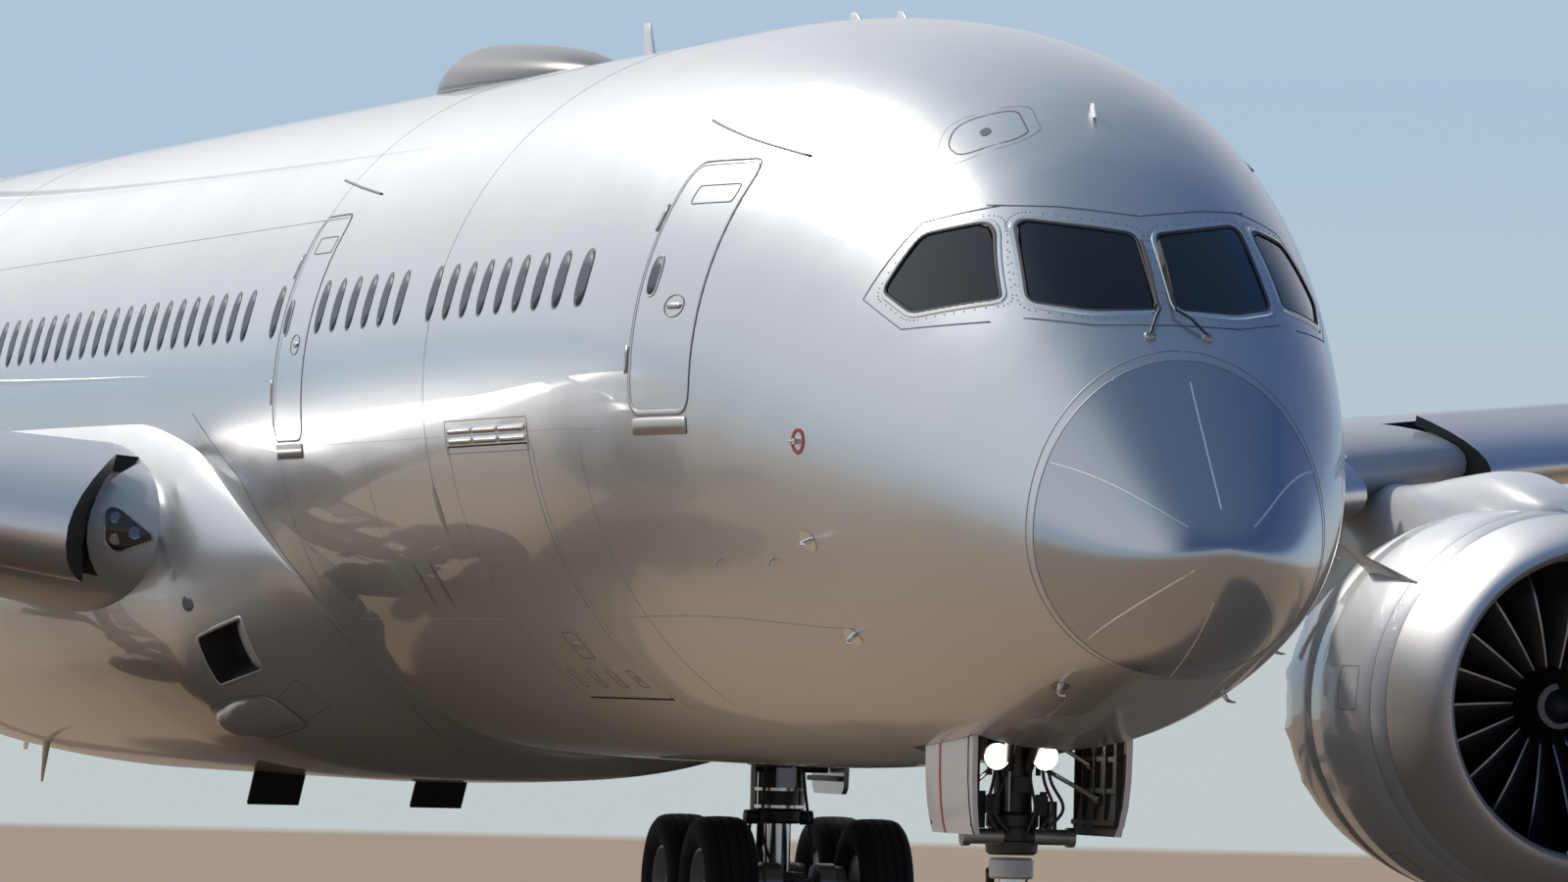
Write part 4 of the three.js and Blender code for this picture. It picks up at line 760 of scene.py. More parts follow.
# %% Passenger doors
for word, side in SIDES.items():
    place = on_side(side)
    for name, (station, height) in DOORS.items():
        trim = Sheet()
        frame_line = rectangle((station, height), DOOR_WIDTH, DOOR_TALL, 0.2)
        groove(trim, frame_line, place, 0.007)
        edge = rectangle((station, height), DOOR_WIDTH - 0.045, DOOR_TALL - 0.045, 0.18)
        band(trim, edge, place, 0.010, 0, closed=True, pick=1, thick=0.0018)
        window = (station + 0.35, height + 0.09)
        patch(trim, oval(window, 0.19, 0.30), place, 0.0018, 6, 4, pick=2)
        band(trim, oval(window, 0.2, 0.31), place, 0.007, 0, step=0.2, closed=True, pick=1, thick=0.003)
        handle = (station - 0.15, height - 0.15)
        groove(trim, oval(handle, 0.34, 0.17, 2.0), place, 0.004, step=0.2)
        patch(trim, rectangle(handle, 0.26, 0.045, 0.02), place, 0.004, 4, 2, pick=3)
        vent = rectangle((station - 0.1, height + 0.71), 0.7, 0.14, 0.05)
        groove(trim, vent, place, 0.004)
        scuff_plate = rectangle((station, height - DOOR_TALL / 2 - 0.085), DOOR_WIDTH - 0.1, 0.13, 0.01)
        patch(trim, scuff_plate, place, 0.0025, 8, 2, pick=3)
        drop = 0.35 if name == "door_1" else 0.2
        top = height + 1.32
        gutter = [(station + 1.03, top), (station, top - drop / 2), (station - 1.15, top - drop)]
        band(trim, gutter, place, 0.007, 0, thick=0.005)
        for share in (-0.28, 0.28):
            spot_at = (station + 0.5 * DOOR_WIDTH + 0.06, height + share * DOOR_TALL)
            patch(trim, rectangle(spot_at, 0.05, 0.22, 0.01), place, 0.0035, 2, 3, pick=3)
        thin_piece(f"{name}_{word}", trim, [seam_shade, edge_white, cabin_glass, steel], 0.0012)
print(2 * len(DOORS), "passenger doors")

# %% [markdown]
# The two cargo doors hang from piano hinges along their top edge and swing up and out, so each is its own
# moving piece: a curved panel with an inner face, hinge plates above it, and its latches along the bottom.

# %% Cargo doors
for where, (station, height, width, tall) in CARGO.items():
    place = on_side(-1)
    body = f"cargo_door_{where}"
    outline = rectangle((station, height), width - 0.028, tall - 0.028, 0.03)
    leaf = slab(outline, place, -SKIN_DEPTH * SCALE * 0.9, 0.0002, 16, 14)
    finish_piece(f"cargo_leaf_{where}", leaf, [mica], body=body, crease=40, stands_for=[body])
    fittings = Sheet()
    for share in (-0.36, -0.12, 0.12, 0.36):
        spot_at = (station + share * width, height - tall / 2 + 0.16)
        patch(fittings, rectangle(spot_at, 0.09, 0.05, 0.01), place, 0.0014, 2, 2)
        groove(fittings, rectangle(spot_at, 0.2, 0.13, 0.03), place, 0.003, pick=1)
    handle = (station - 0.1, height - tall / 2 + 0.42)
    groove(fittings, rectangle(handle, 0.44, 0.2, 0.04), place, 0.004, pick=1)
    patch(fittings, rectangle(handle, 0.3, 0.05, 0.02), place, 0.0016, 4, 2)
    thin_piece(f"cargo_latches_{where}", fittings, [steel, seam_shade], 0.001, body)
    hinges = Sheet()
    top = height + tall / 2
    for row, lift in ((0.04, 0.0022), (0.12, 0.003)):
        for share in (-0.33, 0.0, 0.33):
            spot_at = (station + share * width, top + row)
            patch(hinges, rectangle(spot_at, width * 0.31, 0.055, 0.01), place, lift, 6, 2)
    surround = rectangle((station, top + 0.07), width + 0.08, 0.26, 0.03)
    groove(hinges, surround, place, 0.004, pick=1)
    thin_piece(f"cargo_hinges_{where}", hinges, [bright_metal, seam_shade], 0.001)
print("cargo doors ready")

# %% [markdown]
# Barrels are riveted from sheets, and the joints between them show as hairlines round the body and along
# it. They are thin dark strips on the skin, kept narrow, because on the real aircraft they are only a few
# millimetres wide.

# %% Panel lines
SEAM_LIFT = SKIN_LIFT * 0.6
seams = Sheet()


def hoop(station, from_turn=0.0, to_turn=2 * math.pi, width=0.0028):
    turns = spread(from_turn, to_turn, 120)
    band(seams, [(station, t) for t in turns], skin, width, SEAM_LIFT, step=1.0)


for station in (FORWARD_JOINT, 18.9, 36.9, AFT_JOINT, 49.1, 54.6, 58.9):
    hoop(station)
for station in (RADOME_SEAM, RADOME_SEAM + 0.07):
    hoop(station, width=0.0045)
for station in (8.3, 9.6, 15.6):
    for side in (1, -1):
        hoop(station, side * 1.75, side * 2.6, 0.0022)
LONG_SEAMS = [(1.02, 19, 49), (1.72, 7.8, 18.5), (2.25, 4.1, 18.3), (1.72, 36.5, 54), (2.3, 38.5, 52)]
for side in (1, -1):
    for turn, first, last in LONG_SEAMS:
        path = [(s, side * turn) for s in spread(first, last, 50)]
        band(seams, path, skin, 0.0022, SEAM_LIFT, step=2.0)
thin_piece("panel_lines", seams, [hairline], 0.0006)
print(len(seams.faces), "faces of panel line")

# %% [markdown]
# The nose carries small things that give it its scale: lightning strips that run back over the radome, the
# wipers on their pivots below the windscreen, the crew's escape hatch, pitot probes, angle vanes, static
# ports and aerials.

# %% Nose fittings
STRIPS = [((1.09, 0.02, 4.9), (0.17, 0.0, 3.97)), ((1.22, -0.98, 4.3), (0.13, -0.26, 3.85)),
          ((1.245, 1.0, 4.29), (0.12, 0.23, 3.86)), ((1.15, -0.685, 3.04), (0.065, -0.22, 3.54)),
          ((1.21, 0.64, 2.95), (0.125, 0.2, 3.5)), ((1.21, -0.04, 2.79), (0.125, -0.06, 3.32))]


def turn_of(station, y, height):
    half, wide, rise = quarter(station, height)
    return math.atan2(y / max(half, 1e-6), (height - wide) / max(rise, 1e-6))


strips = Sheet()
for (s1, y1, z1), (s2, y2, z2) in STRIPS:
    first, last = turn_of(s1, y1, z1), turn_of(s2, y2, z2)
    if abs(first - last) > math.pi:
        last += math.copysign(2 * math.pi, first - last)
    path = [(s2 + (s1 - s2) * k / 16, last + (first - last) * k / 16) for k in range(17)]
    band(strips, path, skin, 0.0045, 0, step=1.0, thick=0.0013)
finish_piece("lightning_strips", strips, [bright_metal], outward=False)

wipers = Sheet()
for side, pivot, foot, tip in ((-1, (-0.19, 5.23), (-0.08, 5.40), (-0.06, 5.93)),
                               (1, (0.24, 5.23), (0.04, 5.40), (0.075, 5.93))):
    base, out = on_front(*pivot)
    boss = [(-0.004, 0.022), (0.008, 0.022), (0.016, 0.016), (0.018, 0.0)]
    wipers.rows(turned_rows(base, out, boss, 16), 0, closed=True)
    knee, knee_out = on_front(*foot)
    end, end_out = on_front(*tip)
    bend = knee + knee_out * 0.024
    tube(wipers, [base + out * 0.014, base.lerp(knee, 0.6) + out * 0.03, bend], 0.0055, 8, 1)
    tube(wipers, [bend, knee.lerp(end, 0.55) + end_out * 0.03, end + end_out * 0.016], 0.005, 8, 1)
    blade = [on_front(*[a + (b - a) * t for a, b in zip(foot, tip)]) for t in spread(0.12, 1, 8)]
    tube(wipers, [at + o * 0.008 for at, o in blade], 0.004, 6, 2)
finish_piece("windscreen_wipers", wipers, [steel, gear_dark, seal])

fittings = Sheet()
hatch = [(3.6, -0.27), (3.98, -0.25), (4.14, -0.46), (3.95, -0.54), (3.72, -0.53), (3.57, -0.33)]
groove(fittings, rounded(hatch, 0.09), skin, 0.005, step=0.2)
groove(fittings, rounded(grown(hatch, 0.05), 0.1), skin, 0.003, step=0.2, pick=1)
patch(fittings, rectangle((3.84, -0.40), 0.1, 0.04, 0.01), skin, 0.0012, 3, 2)
AHEAD = Vector((1, 0, 0))
PROBES = [(4.2, -1.98, 3.73, 0.17), (4.25, -1.61, 3.03, 0.17), (2.22, -0.58, 2.70, 0.15),
          (4.2, 1.98, 3.73, 0.17), (4.25, 1.61, 3.03, 0.17), (3.1, 0.92, 2.665, 0.13)]
for station, y, height, size in PROBES:
    turn = turn_of(station, y, height)
    at, out = skin(station, turn)
    head = at + out * size * 0.5 * SCALE
    path = [at - out * 0.004, at + out * size * 0.4 * SCALE + AHEAD * 0.01, head + AHEAD * 0.05,
            head + AHEAD * 0.10]
    tube(fittings, path, [0.012, 0.008, 0.0045, 0.003], 8, 2)
    patch(fittings, oval((station, turn), 0.24, 0.07), skin, 0.0012, 6, 3, pick=2)
for side in (1, -1):
    turn = side * abs(turn_of(4.13, -2.09, 4.465))
    at, out = skin(4.13, turn)
    ring = [(0.0, 0.05), (0.003, 0.048), (0.003, 0.036), (0.0, 0.034)]
    fittings.rows(turned_rows(at, out, ring, 24), 3, closed=True)
    tube(fittings, [at, at + out * 0.02], 0.012, 10, 2)
    tube(fittings, [at + out * 0.018 + Vector((0.01, 0, 0)), at + out * 0.022 + Vector((-0.075, 0, 0))],
         [0.008, 0.003], 8, 2)
    place = on_side(side)
    for station, height in ((13.24, 4.03), (14.99, 3.42), (14.34, 3.41)):
        patch(fittings, oval((station, height), 0.16, 0.36, 2.0), place, 0.0012, 6, 4, pick=1)
    for station in (4.9, 5.9):
        at, out = place(station, 3.6)
        tube(fittings, [at, at + out * 0.018, at + out * 0.02 + Vector((0, 0, -0.02))], 0.004, 6, 1)
finish_piece("nose_fittings", fittings, [seam_shade, steel, bright_metal, red], outward=False)
print("nose fittings done")

# %% [markdown]
# Aerials are thin swept blades on the centre line, above and below. Over the wing stands the long teardrop
# cover of the satellite aerial. Each blade is lofted from a base to a smaller tip, so that it keeps a real
# edge.

# %% Aerials and the satellite cover
blades = Sheet()
# Share of the height, length as a share of the chord, and how far back the ring starts
BLADE_RINGS = [(-0.1, 1.0, 0.0), (0.1, 0.96, 0.06), (0.7, 0.68, 0.34), (0.97, 0.5, 0.5), (1.0, 0.3, 0.6)]
# Station, chord, height, and whether it hangs from the keel
BLADE_AERIALS = [(3.7, 0.2, 0.1, False), (9.2, 0.3, 0.06, False), (10.6, 0.42, 0.09, False),
                 (17.46, 0.44, 0.34, False), (44.8, 0.42, 0.34, True)]
for station, chord, tall, under in BLADE_AERIALS:
    sign = -1 if under else 1
    base = skin(station, math.pi if under else 0.0)[0]
    rows = []
    for share, length, back in BLADE_RINGS:
        ring = []
        for k in range(20):
            t = 2 * math.pi * k / 20
            x = (1 + math.cos(t)) / 2
            half = 0.16 * chord * length * math.sqrt(max(0, x)) * (1 - x) * (1 if math.sin(t) >= 0 else -1)
            ahead = (0.5 - back - x * length) * chord
            ring.append(base + Vector((ahead, half, sign * share * tall)) * SCALE)
        rows.append(ring)
    blades.rows(rows, closed=True)
    blades.cap(rows[-1]).cap(rows[0])
finish_piece("blade_aerials", blades, [white_enamel], crease=60)

# Station, half width and rise over the crown
HUMP = [(19.0, 0.05, 0.02), (19.4, 0.24, 0.12), (19.9, 0.38, 0.20), (20.5, 0.47, 0.26), (21.2, 0.53, 0.31),
        (21.9, 0.56, 0.35), (22.5, 0.56, 0.38), (23.0, 0.53, 0.385), (23.4, 0.46, 0.34), (23.7, 0.36, 0.21),
        (23.95, 0.16, 0.05)]
hump_curves = [curve_through([row[0] for row in HUMP], [row[c] for row in HUMP], "last") for c in (1, 2)]
rows = []
for station in spread(HUMP[0][0], HUMP[-1][0], 40):
    half, rise = (max(0.01, curve(station)) for curve in hump_curves)
    crown = section(station)[0]
    rows.append([spot(station, math.sin(t) * half * 1.08, crown - 0.06 + math.cos(t) * (rise + 0.06))
                 for t in spread(-math.pi / 2, math.pi / 2, 24)])
cover = finish_piece("satellite_cover", Sheet().rows(rows), [bronze], stands_for=["satellite_aerial"])
thicken(cover, 0.004)
print("aerials done")

# %% [markdown]
# Wings, tail and engines are drawn in full size metres and scaled at the end, so that the numbers stay
# those of the aircraft. A solid is a closed sheet, and Blender's exact Boolean cuts the bays for the moving
# surfaces out of the wing and cuts the surfaces themselves from the same wing shape, so that they close
# flush.

# %% Solids and cuts in full size metres
def full(station, y, z):
    return Vector((LENGTH / 2 - station, y, z))


def solid(sheet):
    """A welded mesh with its faces turned outward, from a closed sheet in full size metres."""
    return welded(mesh_of("solid", [p * SCALE for p in sheet.points], sheet), [cavity_painted_shade] * 4)


def mirrored(mesh):
    twin = mesh.copy()
    twin.transform(Matrix.Diagonal((1, -1, 1, 1)))
    twin.flip_normals()
    return twin


def settle(name, meshes, finishes, body="airframe", crease=32, stands_for=()):
    """One piece from one or more solids, shaded smooth except at its sharp edges."""
    work = bmesh.new()
    for mesh in meshes:
        work.from_mesh(mesh)
    bmesh.ops.dissolve_degenerate(work, edges=work.edges, dist=1e-6)
    return place_piece(name, work, bpy.data.meshes.new(name), crease, finishes, body, stands_for)


def both_sides(name, left, finishes, body=None, crease=32, stands_for=None):
    """The left piece and its mirror image. Body and node names take the side's word in place of a star."""
    for word in SIDES:
        meshes = left if word == "left" else [mirrored(mesh) for mesh in left]
        stands = [node.replace("*", word) for node in stands_for] if stands_for else ()
        ridden = body.replace("*", word) if body else "airframe"
        settle(f"{name}_{word}", meshes, finishes, ridden, crease, stands)


def loft(rings, pick=0):
    return solid(Sheet().rows(rings, pick, closed=True).cap(rings[0], pick).cap(rings[-1], pick))


def turned(centre, axis, profile, count, pick=0):
    """A closed solid turned about a line. Its profile starts and ends on the line."""
    rows = turned_rows(centre, axis, [(a, max(r, 1e-4)) for a, r in profile], count)
    return solid(Sheet().rows(rows, pick, closed=True).cap(rows[0], pick).cap(rows[-1], pick))


def rod(a, b, radius, count=16, pick=0, end_radius=None):
    length = (b - a).length
    last = radius if end_radius is None else end_radius
    return turned(a, b - a, [(0, 0), (0, radius), (length, last), (length, 0)], count, pick)


def brick(centre, size, pick=0, round_off=0.12):
    """A box with softened edges, about its centre."""
    work = bmesh.new()
    bmesh.ops.create_cube(work, size=1.0)
    bmesh.ops.scale(work, vec=size, verts=work.verts)
    bmesh.ops.bevel(work, geom=work.edges[:], offset=min(size) * round_off, segments=2, affect="EDGES")
    corners = [v.co + centre for v in work.verts]
    faces = [[v.index for v in f.verts] for f in work.faces]
    work.free()
    return solid(Sheet().add(corners, faces, pick))


print("solids ready")

# %% [markdown]
# A wing is a row of aerofoils. Each row of the table is a rib: its distance off the centre, where its nose
# lies, its chord, its height and its thickness. An eased curve through the table bends the tip back
# smoothly without overshooting between the ribs.

# %% Wing law
# Distance off the centre, nose station, chord, height and thickness as a share of the chord
WING = [(1.6, 21.3, 13.1, 3.6, 0.135), (3.2, 22.4, 11.9, 3.85, 0.13), (6.4, 24.6, 9.95, 4.38, 0.12),
        (10.2, 27.1, 7.6, 4.88, 0.11), (15, 30.35, 6.15, 5.44, 0.103), (20, 33.85, 4.7, 6.05, 0.1),
        (26.3, 38.2, 2.95, 6.95, 0.095), (28.2, 40.3, 1.95, 7.25, 0.09), (29.5, 42.35, 1.05, 7.5, 0.085),
        (30.06, 43.55, 0.35, 7.65, 0.085)]
TAILPLANE = [(0.5, 53.3, 5.75, 6.5, 0.1), (1.4, 53.95, 5.4, 6.6, 0.1), (9.2, 59.75, 2.65, 7.45, 0.09),
             (9.9, 60.65, 2.16, 7.53, 0.08)]
# Height, nose station, chord and thickness as a share of the chord
FIN = [(7.0, 48.6, 9.8, 0.1), (8.2, 50.6, 8.6, 0.1), (12.5, 54.45, 5.9, 0.095), (16.2, 57.3, 3.6, 0.09),
       (17.02, 58.6, 2.3, 0.07)]
CAMBER, AEROFOIL_STEPS = 0.012, 26


def gap_index(rows, key):
    """The number of the row that a key follows, in a table that rises by its first column."""
    return max(0, min(len(rows) - 2, next((k for k, row in enumerate(rows) if row[0] > key), len(rows)) - 1))


def linear(rows, key, column):
    i = gap_index(rows, key)
    t = (key - rows[i][0]) / (rows[i + 1][0] - rows[i][0])
    return rows[i][column] + t * (rows[i + 1][column] - rows[i][column])


def eased(rows, key, column):
    """A smooth curve through a table that never overshoots it."""
    i = gap_index(rows, key)

    def steepness(k):
        return (rows[k + 1][column] - rows[k][column]) / (rows[k + 1][0] - rows[k][0])

    def slope(k):
        if k == 0 or k == len(rows) - 1:
            return steepness(0 if k == 0 else k - 1)
        a, b = steepness(k - 1), steepness(k)
        return 0.0 if a * b <= 0 else 2 * a * b / (a + b)

    gap = rows[i + 1][0] - rows[i][0]
    t = (key - rows[i][0]) / gap
    return (rows[i][column] * (2 * t ** 3 - 3 * t ** 2 + 1) + gap * slope(i) * (t ** 3 - 2 * t ** 2 + t)
            + rows[i + 1][column] * (3 * t ** 2 - 2 * t ** 3) + gap * slope(i + 1) * (t ** 3 - t ** 2))


def half_thickness(x, ratio):
    shape = 0.2969 * math.sqrt(x) - 0.126 * x - 0.3516 * x ** 2 + 0.2843 * x ** 3 - 0.1026 * x ** 4
    return 5 * ratio * shape + 0.0022


def aerofoil(leading, chord, ratio, place, camber=CAMBER):
    ring = []
    for k in range(2 * AEROFOIL_STEPS):
        x = (1 + math.cos(math.pi * k / AEROFOIL_STEPS)) / 2
        side = 0 if k in (0, AEROFOIL_STEPS) else (1 if k < AEROFOIL_STEPS else -1)
        rise = camber * math.sin(math.pi * x) + side * half_thickness(x, ratio)
        ring.append(place(leading + x * chord, rise * chord))
    return ring


def wing_rings(rows, keys):
    rings = []
    for y in keys:
        leading, chord, z, ratio = (eased(rows, y, c) for c in (1, 2, 3, 4))
        rings.append(aerofoil(leading, chord, ratio, lambda s, h, y=y, z=z: full(s, y, z + h)))
    return rings


WING_KEYS = [*spread(1.6, 26.3, 56), *spread(26.3, 30.06, 22)[1:]]
wing_shape = loft(wing_rings(WING, WING_KEYS))


def wing_top(station, y):
    """A point of the wing's top by station and distance off the centre."""
    leading, chord, z, ratio = (eased(WING, y, c) for c in (1, 2, 3, 4))
    x = min(1.0, max(1e-6, (station - leading) / chord))
    return full(station, y, z + chord * (CAMBER * math.sin(math.pi * x) + half_thickness(x, ratio)))


print("wing faces", len(wing_shape.polygons))

# %% [markdown]
# Flaps, flaperon and aileron lie along the trailing edge. The flaperon and the aileron turn about a line
# inside them, so their noses are round. The flaps turn about a line a metre below the wing, so their front
# is a plain slope, and they ride on carriers in streamlined fairings, half on the wing and half on the
# flap.

# %% Hinge frames and spaces
# Inner and outer end, chord at each, and where the carriers stand
TRAILING = {"flap_inboard": (3.75, 8.7, (2.05, 1.85), (6.5, 8.2)),
            "flaperon": (9.1, 10.75, (1.9, 1.75), ()),
            "flap_outboard": (11.3, 19.7, (1.6, 1.1), (12.7, 17.6)),
            "aileron": (20.35, 25.6, (1.0, 0.75), ())}
FLAP_DROP, FLAP_AHEAD, GAP = 1.0, 0.1, 0.014
AFT = Vector((-1, 0, 0))


def trailing(rows, y):
    return linear(rows, y, 1) + linear(rows, y, 2)


def middle_height(rows, y, station):
    leading, chord, z = (linear(rows, y, c) for c in (1, 2, 3))
    return z + CAMBER * chord * math.sin(math.pi * (station - leading) / chord)


class HingeFrame:
    def __init__(self, inner, outer):
        self.inner, self.outer = inner, outer
        self.along = (outer - inner).normalized()
        self.aft = (AFT - self.along * AFT.dot(self.along)).normalized()
        self.normal = self.along.cross(self.aft).normalized()
        if self.normal.z < 0:
            self.normal = -self.normal

    def prism(self, outlines, grow=0.0):
        """A solid between two outlines of (aft, up) at the hinge's ends."""
        ends = [(self.inner - self.along * grow), (self.outer + self.along * grow)]
        rings = [[end + self.aft * a + self.normal * n for a, n in outline]
                 for end, outline in zip(ends, outlines)]
        return loft(rings, 1)

    def round_nosed(self, radii, grow):
        """The space aft of the hinge, with a front that is a half circle about it at each end."""
        outlines = []
        for radius in radii:
            r = radius + grow
            nose = [(-r * math.sin(t), r * math.cos(t)) for t in spread(0, math.pi, 14)]
            nose = [(min(a, -grow) if k in (0, 14) else a, n) for k, (a, n) in enumerate(nose)]
            outlines.append([(7, 2.5), (-grow, 2.5), *nose, (-grow, -2.5), (7, -2.5)])
        return self.prism(outlines, grow)


def nose_radii(rows, columns, ends):
    def size(key, station):
        leading, chord, ratio = (linear(rows, key, c) for c in columns)
        return half_thickness((station - leading) / chord, ratio) * chord

    first, last = (size(*end) for end in ends)
    excess = 1.0
    for t in spread(0, 1, 8):
        key, station = (a + t * (b - a) for a, b in zip(*ends))
        excess = max(excess, size(key, station) / (first + t * (last - first)))
    return first * excess + GAP / 3, last * excess + GAP / 3


def flap_outline(grow):
    return [(-grow - 0.25, -3), (-grow + 0.12, 3), (7, 3), (7, -3)]


print("hinge frames ready")

# %% Trailing edge surfaces
CARRIER_FRONT = [(-2.3, 0.03, 0.72), (-2.0, 0.09, 0.45), (-1.6, 0.15, 0.25), (-1.1, 0.2, 0.04),
                 (-0.7, 0.22, -0.08), (-0.12, 0.22, -0.15)]
wing_cut = wing_shape.copy()
carriers_front = []


def canoe(rows, place_at, height_at):
    """A streamlined carrier fairing: distance aft of the hinge, half width, bottom over the hinge."""
    rings = []
    for aft, half, bottom in rows:
        upper, lower = height_at(aft), place_at.z + bottom
        ring = []
        for k in range(20):
            t = 2 * math.pi * k / 20
            wide, rise = (math.copysign(abs(part) ** 0.7, part) for part in (math.cos(t), math.sin(t)))
            z = (upper + lower) / 2 + (upper - lower) / 2 * rise
            ring.append(Vector((place_at.x - aft, place_at.y + half * wide, z)))
        rings.append(ring)
    return loft(rings)


for kind, (start, end, chords, places) in TRAILING.items():
    stations = [trailing(WING, y) - chord for y, chord in zip((start, end), chords)]
    points = [full(s, y, middle_height(WING, y, s)) for s, y in zip(stations, (start, end))]
    hinge = HingeFrame(*points)
    if kind.startswith("flap_"):
        space = hinge.prism([flap_outline(0)] * 2)
        room = hinge.prism([flap_outline(GAP)] * 2, GAP)
    else:
        radii = nose_radii(WING, (1, 2, 4), list(zip((start, end), stations)))
        space, room = hinge.round_nosed(radii, 0), hinge.round_nosed(radii, GAP)
    surface = boolean(wing_shape.copy(), space, "INTERSECT")
    wing_cut = boolean(wing_cut, room)
    solids = [surface]
    for y in places:
        axis_point = points[0] + AFT * -FLAP_AHEAD + Vector((0, 0, -FLAP_DROP))
        at = axis_point + hinge.along * ((y - axis_point.y) / hinge.along.y)
        chord = chords[0] + (y - start) / (end - start) * (chords[1] - chords[0])

        def height_at(aft, at=at, y=y):
            return middle_height(WING, y, LENGTH / 2 - at.x + aft)

        front = canoe(CARRIER_FRONT, at, height_at)
        cheeks = [brick(at + Vector((0.035, side * 0.165, 0)), (0.13, 0.09, 0.27)) for side in (-1, 1)]
        carriers_front += [front, *cheeks]
        rear = canoe([(0.27, 0.16, -0.1), (0.27 + 0.2 * chord, 0.15, 0.08), (0.27 + 0.45 * chord, 0.12, 0.36),
                      (0.27 + 0.65 * chord, 0.07, 0.62), (chord - 0.05, 0.02, 0.84)], at, height_at)
        eye = rod(at + Vector((0, -0.06, 0)), at + Vector((0, 0.06, 0)), 0.1)
        arm = loft([[at + Vector((-a, w, u)) for a, u in ((0, 0.09), (0.3, 0.6), (0.5, 0.1), (0.02, -0.09))]
                    for w in (-0.06, 0.06)])
        solids += [rear, eye, arm]
    both_sides(f"{kind}_skin", solids, [wing_grey, steel], f"{kind}_*", 32, [f"{kind}_*"])
both_sides("flap_carriers_front", carriers_front, [wing_grey], None, 40)
print("trailing edge done")

# %% [markdown]
# Spoilers are thin panels let into the top of the wing ahead of the flaps. Seven a side are real, and here
# they move as two banks, so each bank is one plate with gaps scored between its panels.

# %% Spoilers
# Inner and outer end, chord and number of panels
SPOILERS = {"spoilers_inboard": (4.1, 8.5, 1.15, 2), "spoilers_outboard": (11.6, 19.3, 0.85, 4)}
SPOILER_DEPTH, SPOILER_END_GAP, PANEL_GAP = 0.08, 0.07, 0.012
for kind, (start, end, chord, count) in SPOILERS.items():
    flap_from, flap_to, flap_chords, _ = TRAILING[kind.replace("spoilers", "flap")]
    rear = []
    for y in (start, end):
        share = (y - flap_from) / (flap_to - flap_from)
        rear.append(trailing(WING, y) - flap_chords[0] * (1 - share) - flap_chords[1] * share - 0.1)
    slope = (rear[1] - rear[0]) / (end - start)

    def plate(first, last, grow, low, high):
        rings = []
        for y in spread(first, last, 24):
            back = rear[0] + slope * (y - start)
            line = [wing_top(s, y) for s in spread(back - chord - grow, back + grow, 10)]
            rings.append([at + Vector((0, 0, low)) for at in line]
                         + [at + Vector((0, 0, high)) for at in reversed(line)])
        return loft(rings)

    edges = spread(start, end, count)
    panels = [plate(a + PANEL_GAP, b - PANEL_GAP, 0, -SPOILER_DEPTH, 0.0) for a, b in zip(edges, edges[1:])]
    spine = plate(start + 0.05, end - 0.05, -0.05, -SPOILER_DEPTH + 0.004, -SPOILER_DEPTH / 2)
    room = plate(start - SPOILER_END_GAP, end + SPOILER_END_GAP, GAP, -SPOILER_DEPTH - GAP, 0.2)
    wing_cut = boolean(wing_cut, room)
    both_sides(f"{kind}_panels", [*panels, spine], [wing_grey], f"{kind}_*", 32, [f"{kind}_*"])
print("spoilers done")

# %% [markdown]
# The fairing that wraps the join of wing and body is shaped before the slats, because the inboard slat is
# cut to clear it. Its sections are superellipses, fuller than an ellipse. At the front they are drawn in to
# the fuselage skin, so that the fairing grows out of it gently instead of starting with a step.

# %% Fairing shape
# Station, half width, top, bottom and height of the widest line
FAIRING = [(18.7, 1.5, 3.2, 2.06, 2.6), (19.4, 2.5, 3.9, 1.93, 2.9), (20.7, 2.95, 4.75, 1.82, 3.2),
           (22.4, 3.2, 5.5, 1.74, 3.5), (25.0, 3.32, 5.7, 1.7, 3.6), (33.0, 3.32, 5.75, 1.7, 3.6),
           (36.0, 3.05, 5.2, 1.76, 3.3), (38.6, 2.3, 3.9, 1.88, 2.9), (40.0, 1.2, 2.9, 2.03, 2.5)]
FAIRING_POWER, BLEND, FLUSH = 0.8, 3.6, 0.996


def fairing_point(station, turn):
    """The fairing's own section, drawn in to the fuselage skin at the front, so that it leaves it gently."""
    half, top, bottom, wide = (eased(FAIRING, station, c) for c in (1, 2, 3, 4))
    up, out = math.cos(turn), math.sin(turn)
    y = math.copysign(abs(out) ** FAIRING_POWER, out) * half
    z = wide + math.copysign(abs(up) ** FAIRING_POWER, up) * (top - wide if up > 0 else wide - bottom)
    girth, middle, rise = quarter(station, z)
    reach = math.hypot(y / girth, (z - middle) / rise)
    share = min(1.0, max(0.0, (station - FAIRING[0][0]) / BLEND))
    drawn = FLUSH + (reach - FLUSH) * share * share * (3 - 2 * share) if reach > FLUSH else reach
    return full(station, y * drawn / reach, middle + (z - middle) * drawn / reach)


def fairing_solid(wider=1.0):
    rings = [[fairing_point(s, 2 * math.pi * k / 120) for k in range(120)] for s in spread(18.7, 40.0, 90)]
    return loft([[Vector((p.x, p.y * wider, p.z)) for p in ring] for ring in rings])


fairing_room = fairing_solid(1.008)
print("fairing from station", FAIRING[0][0], "to", FAIRING[-1][0])

# %% [markdown]
# Slats are the wing's own nose, on curved tracks. The photograph shows them drooped, so they rest turned by
# 14 degrees about a line under the wing, and the tracks slide out of slots in the fixed nose.

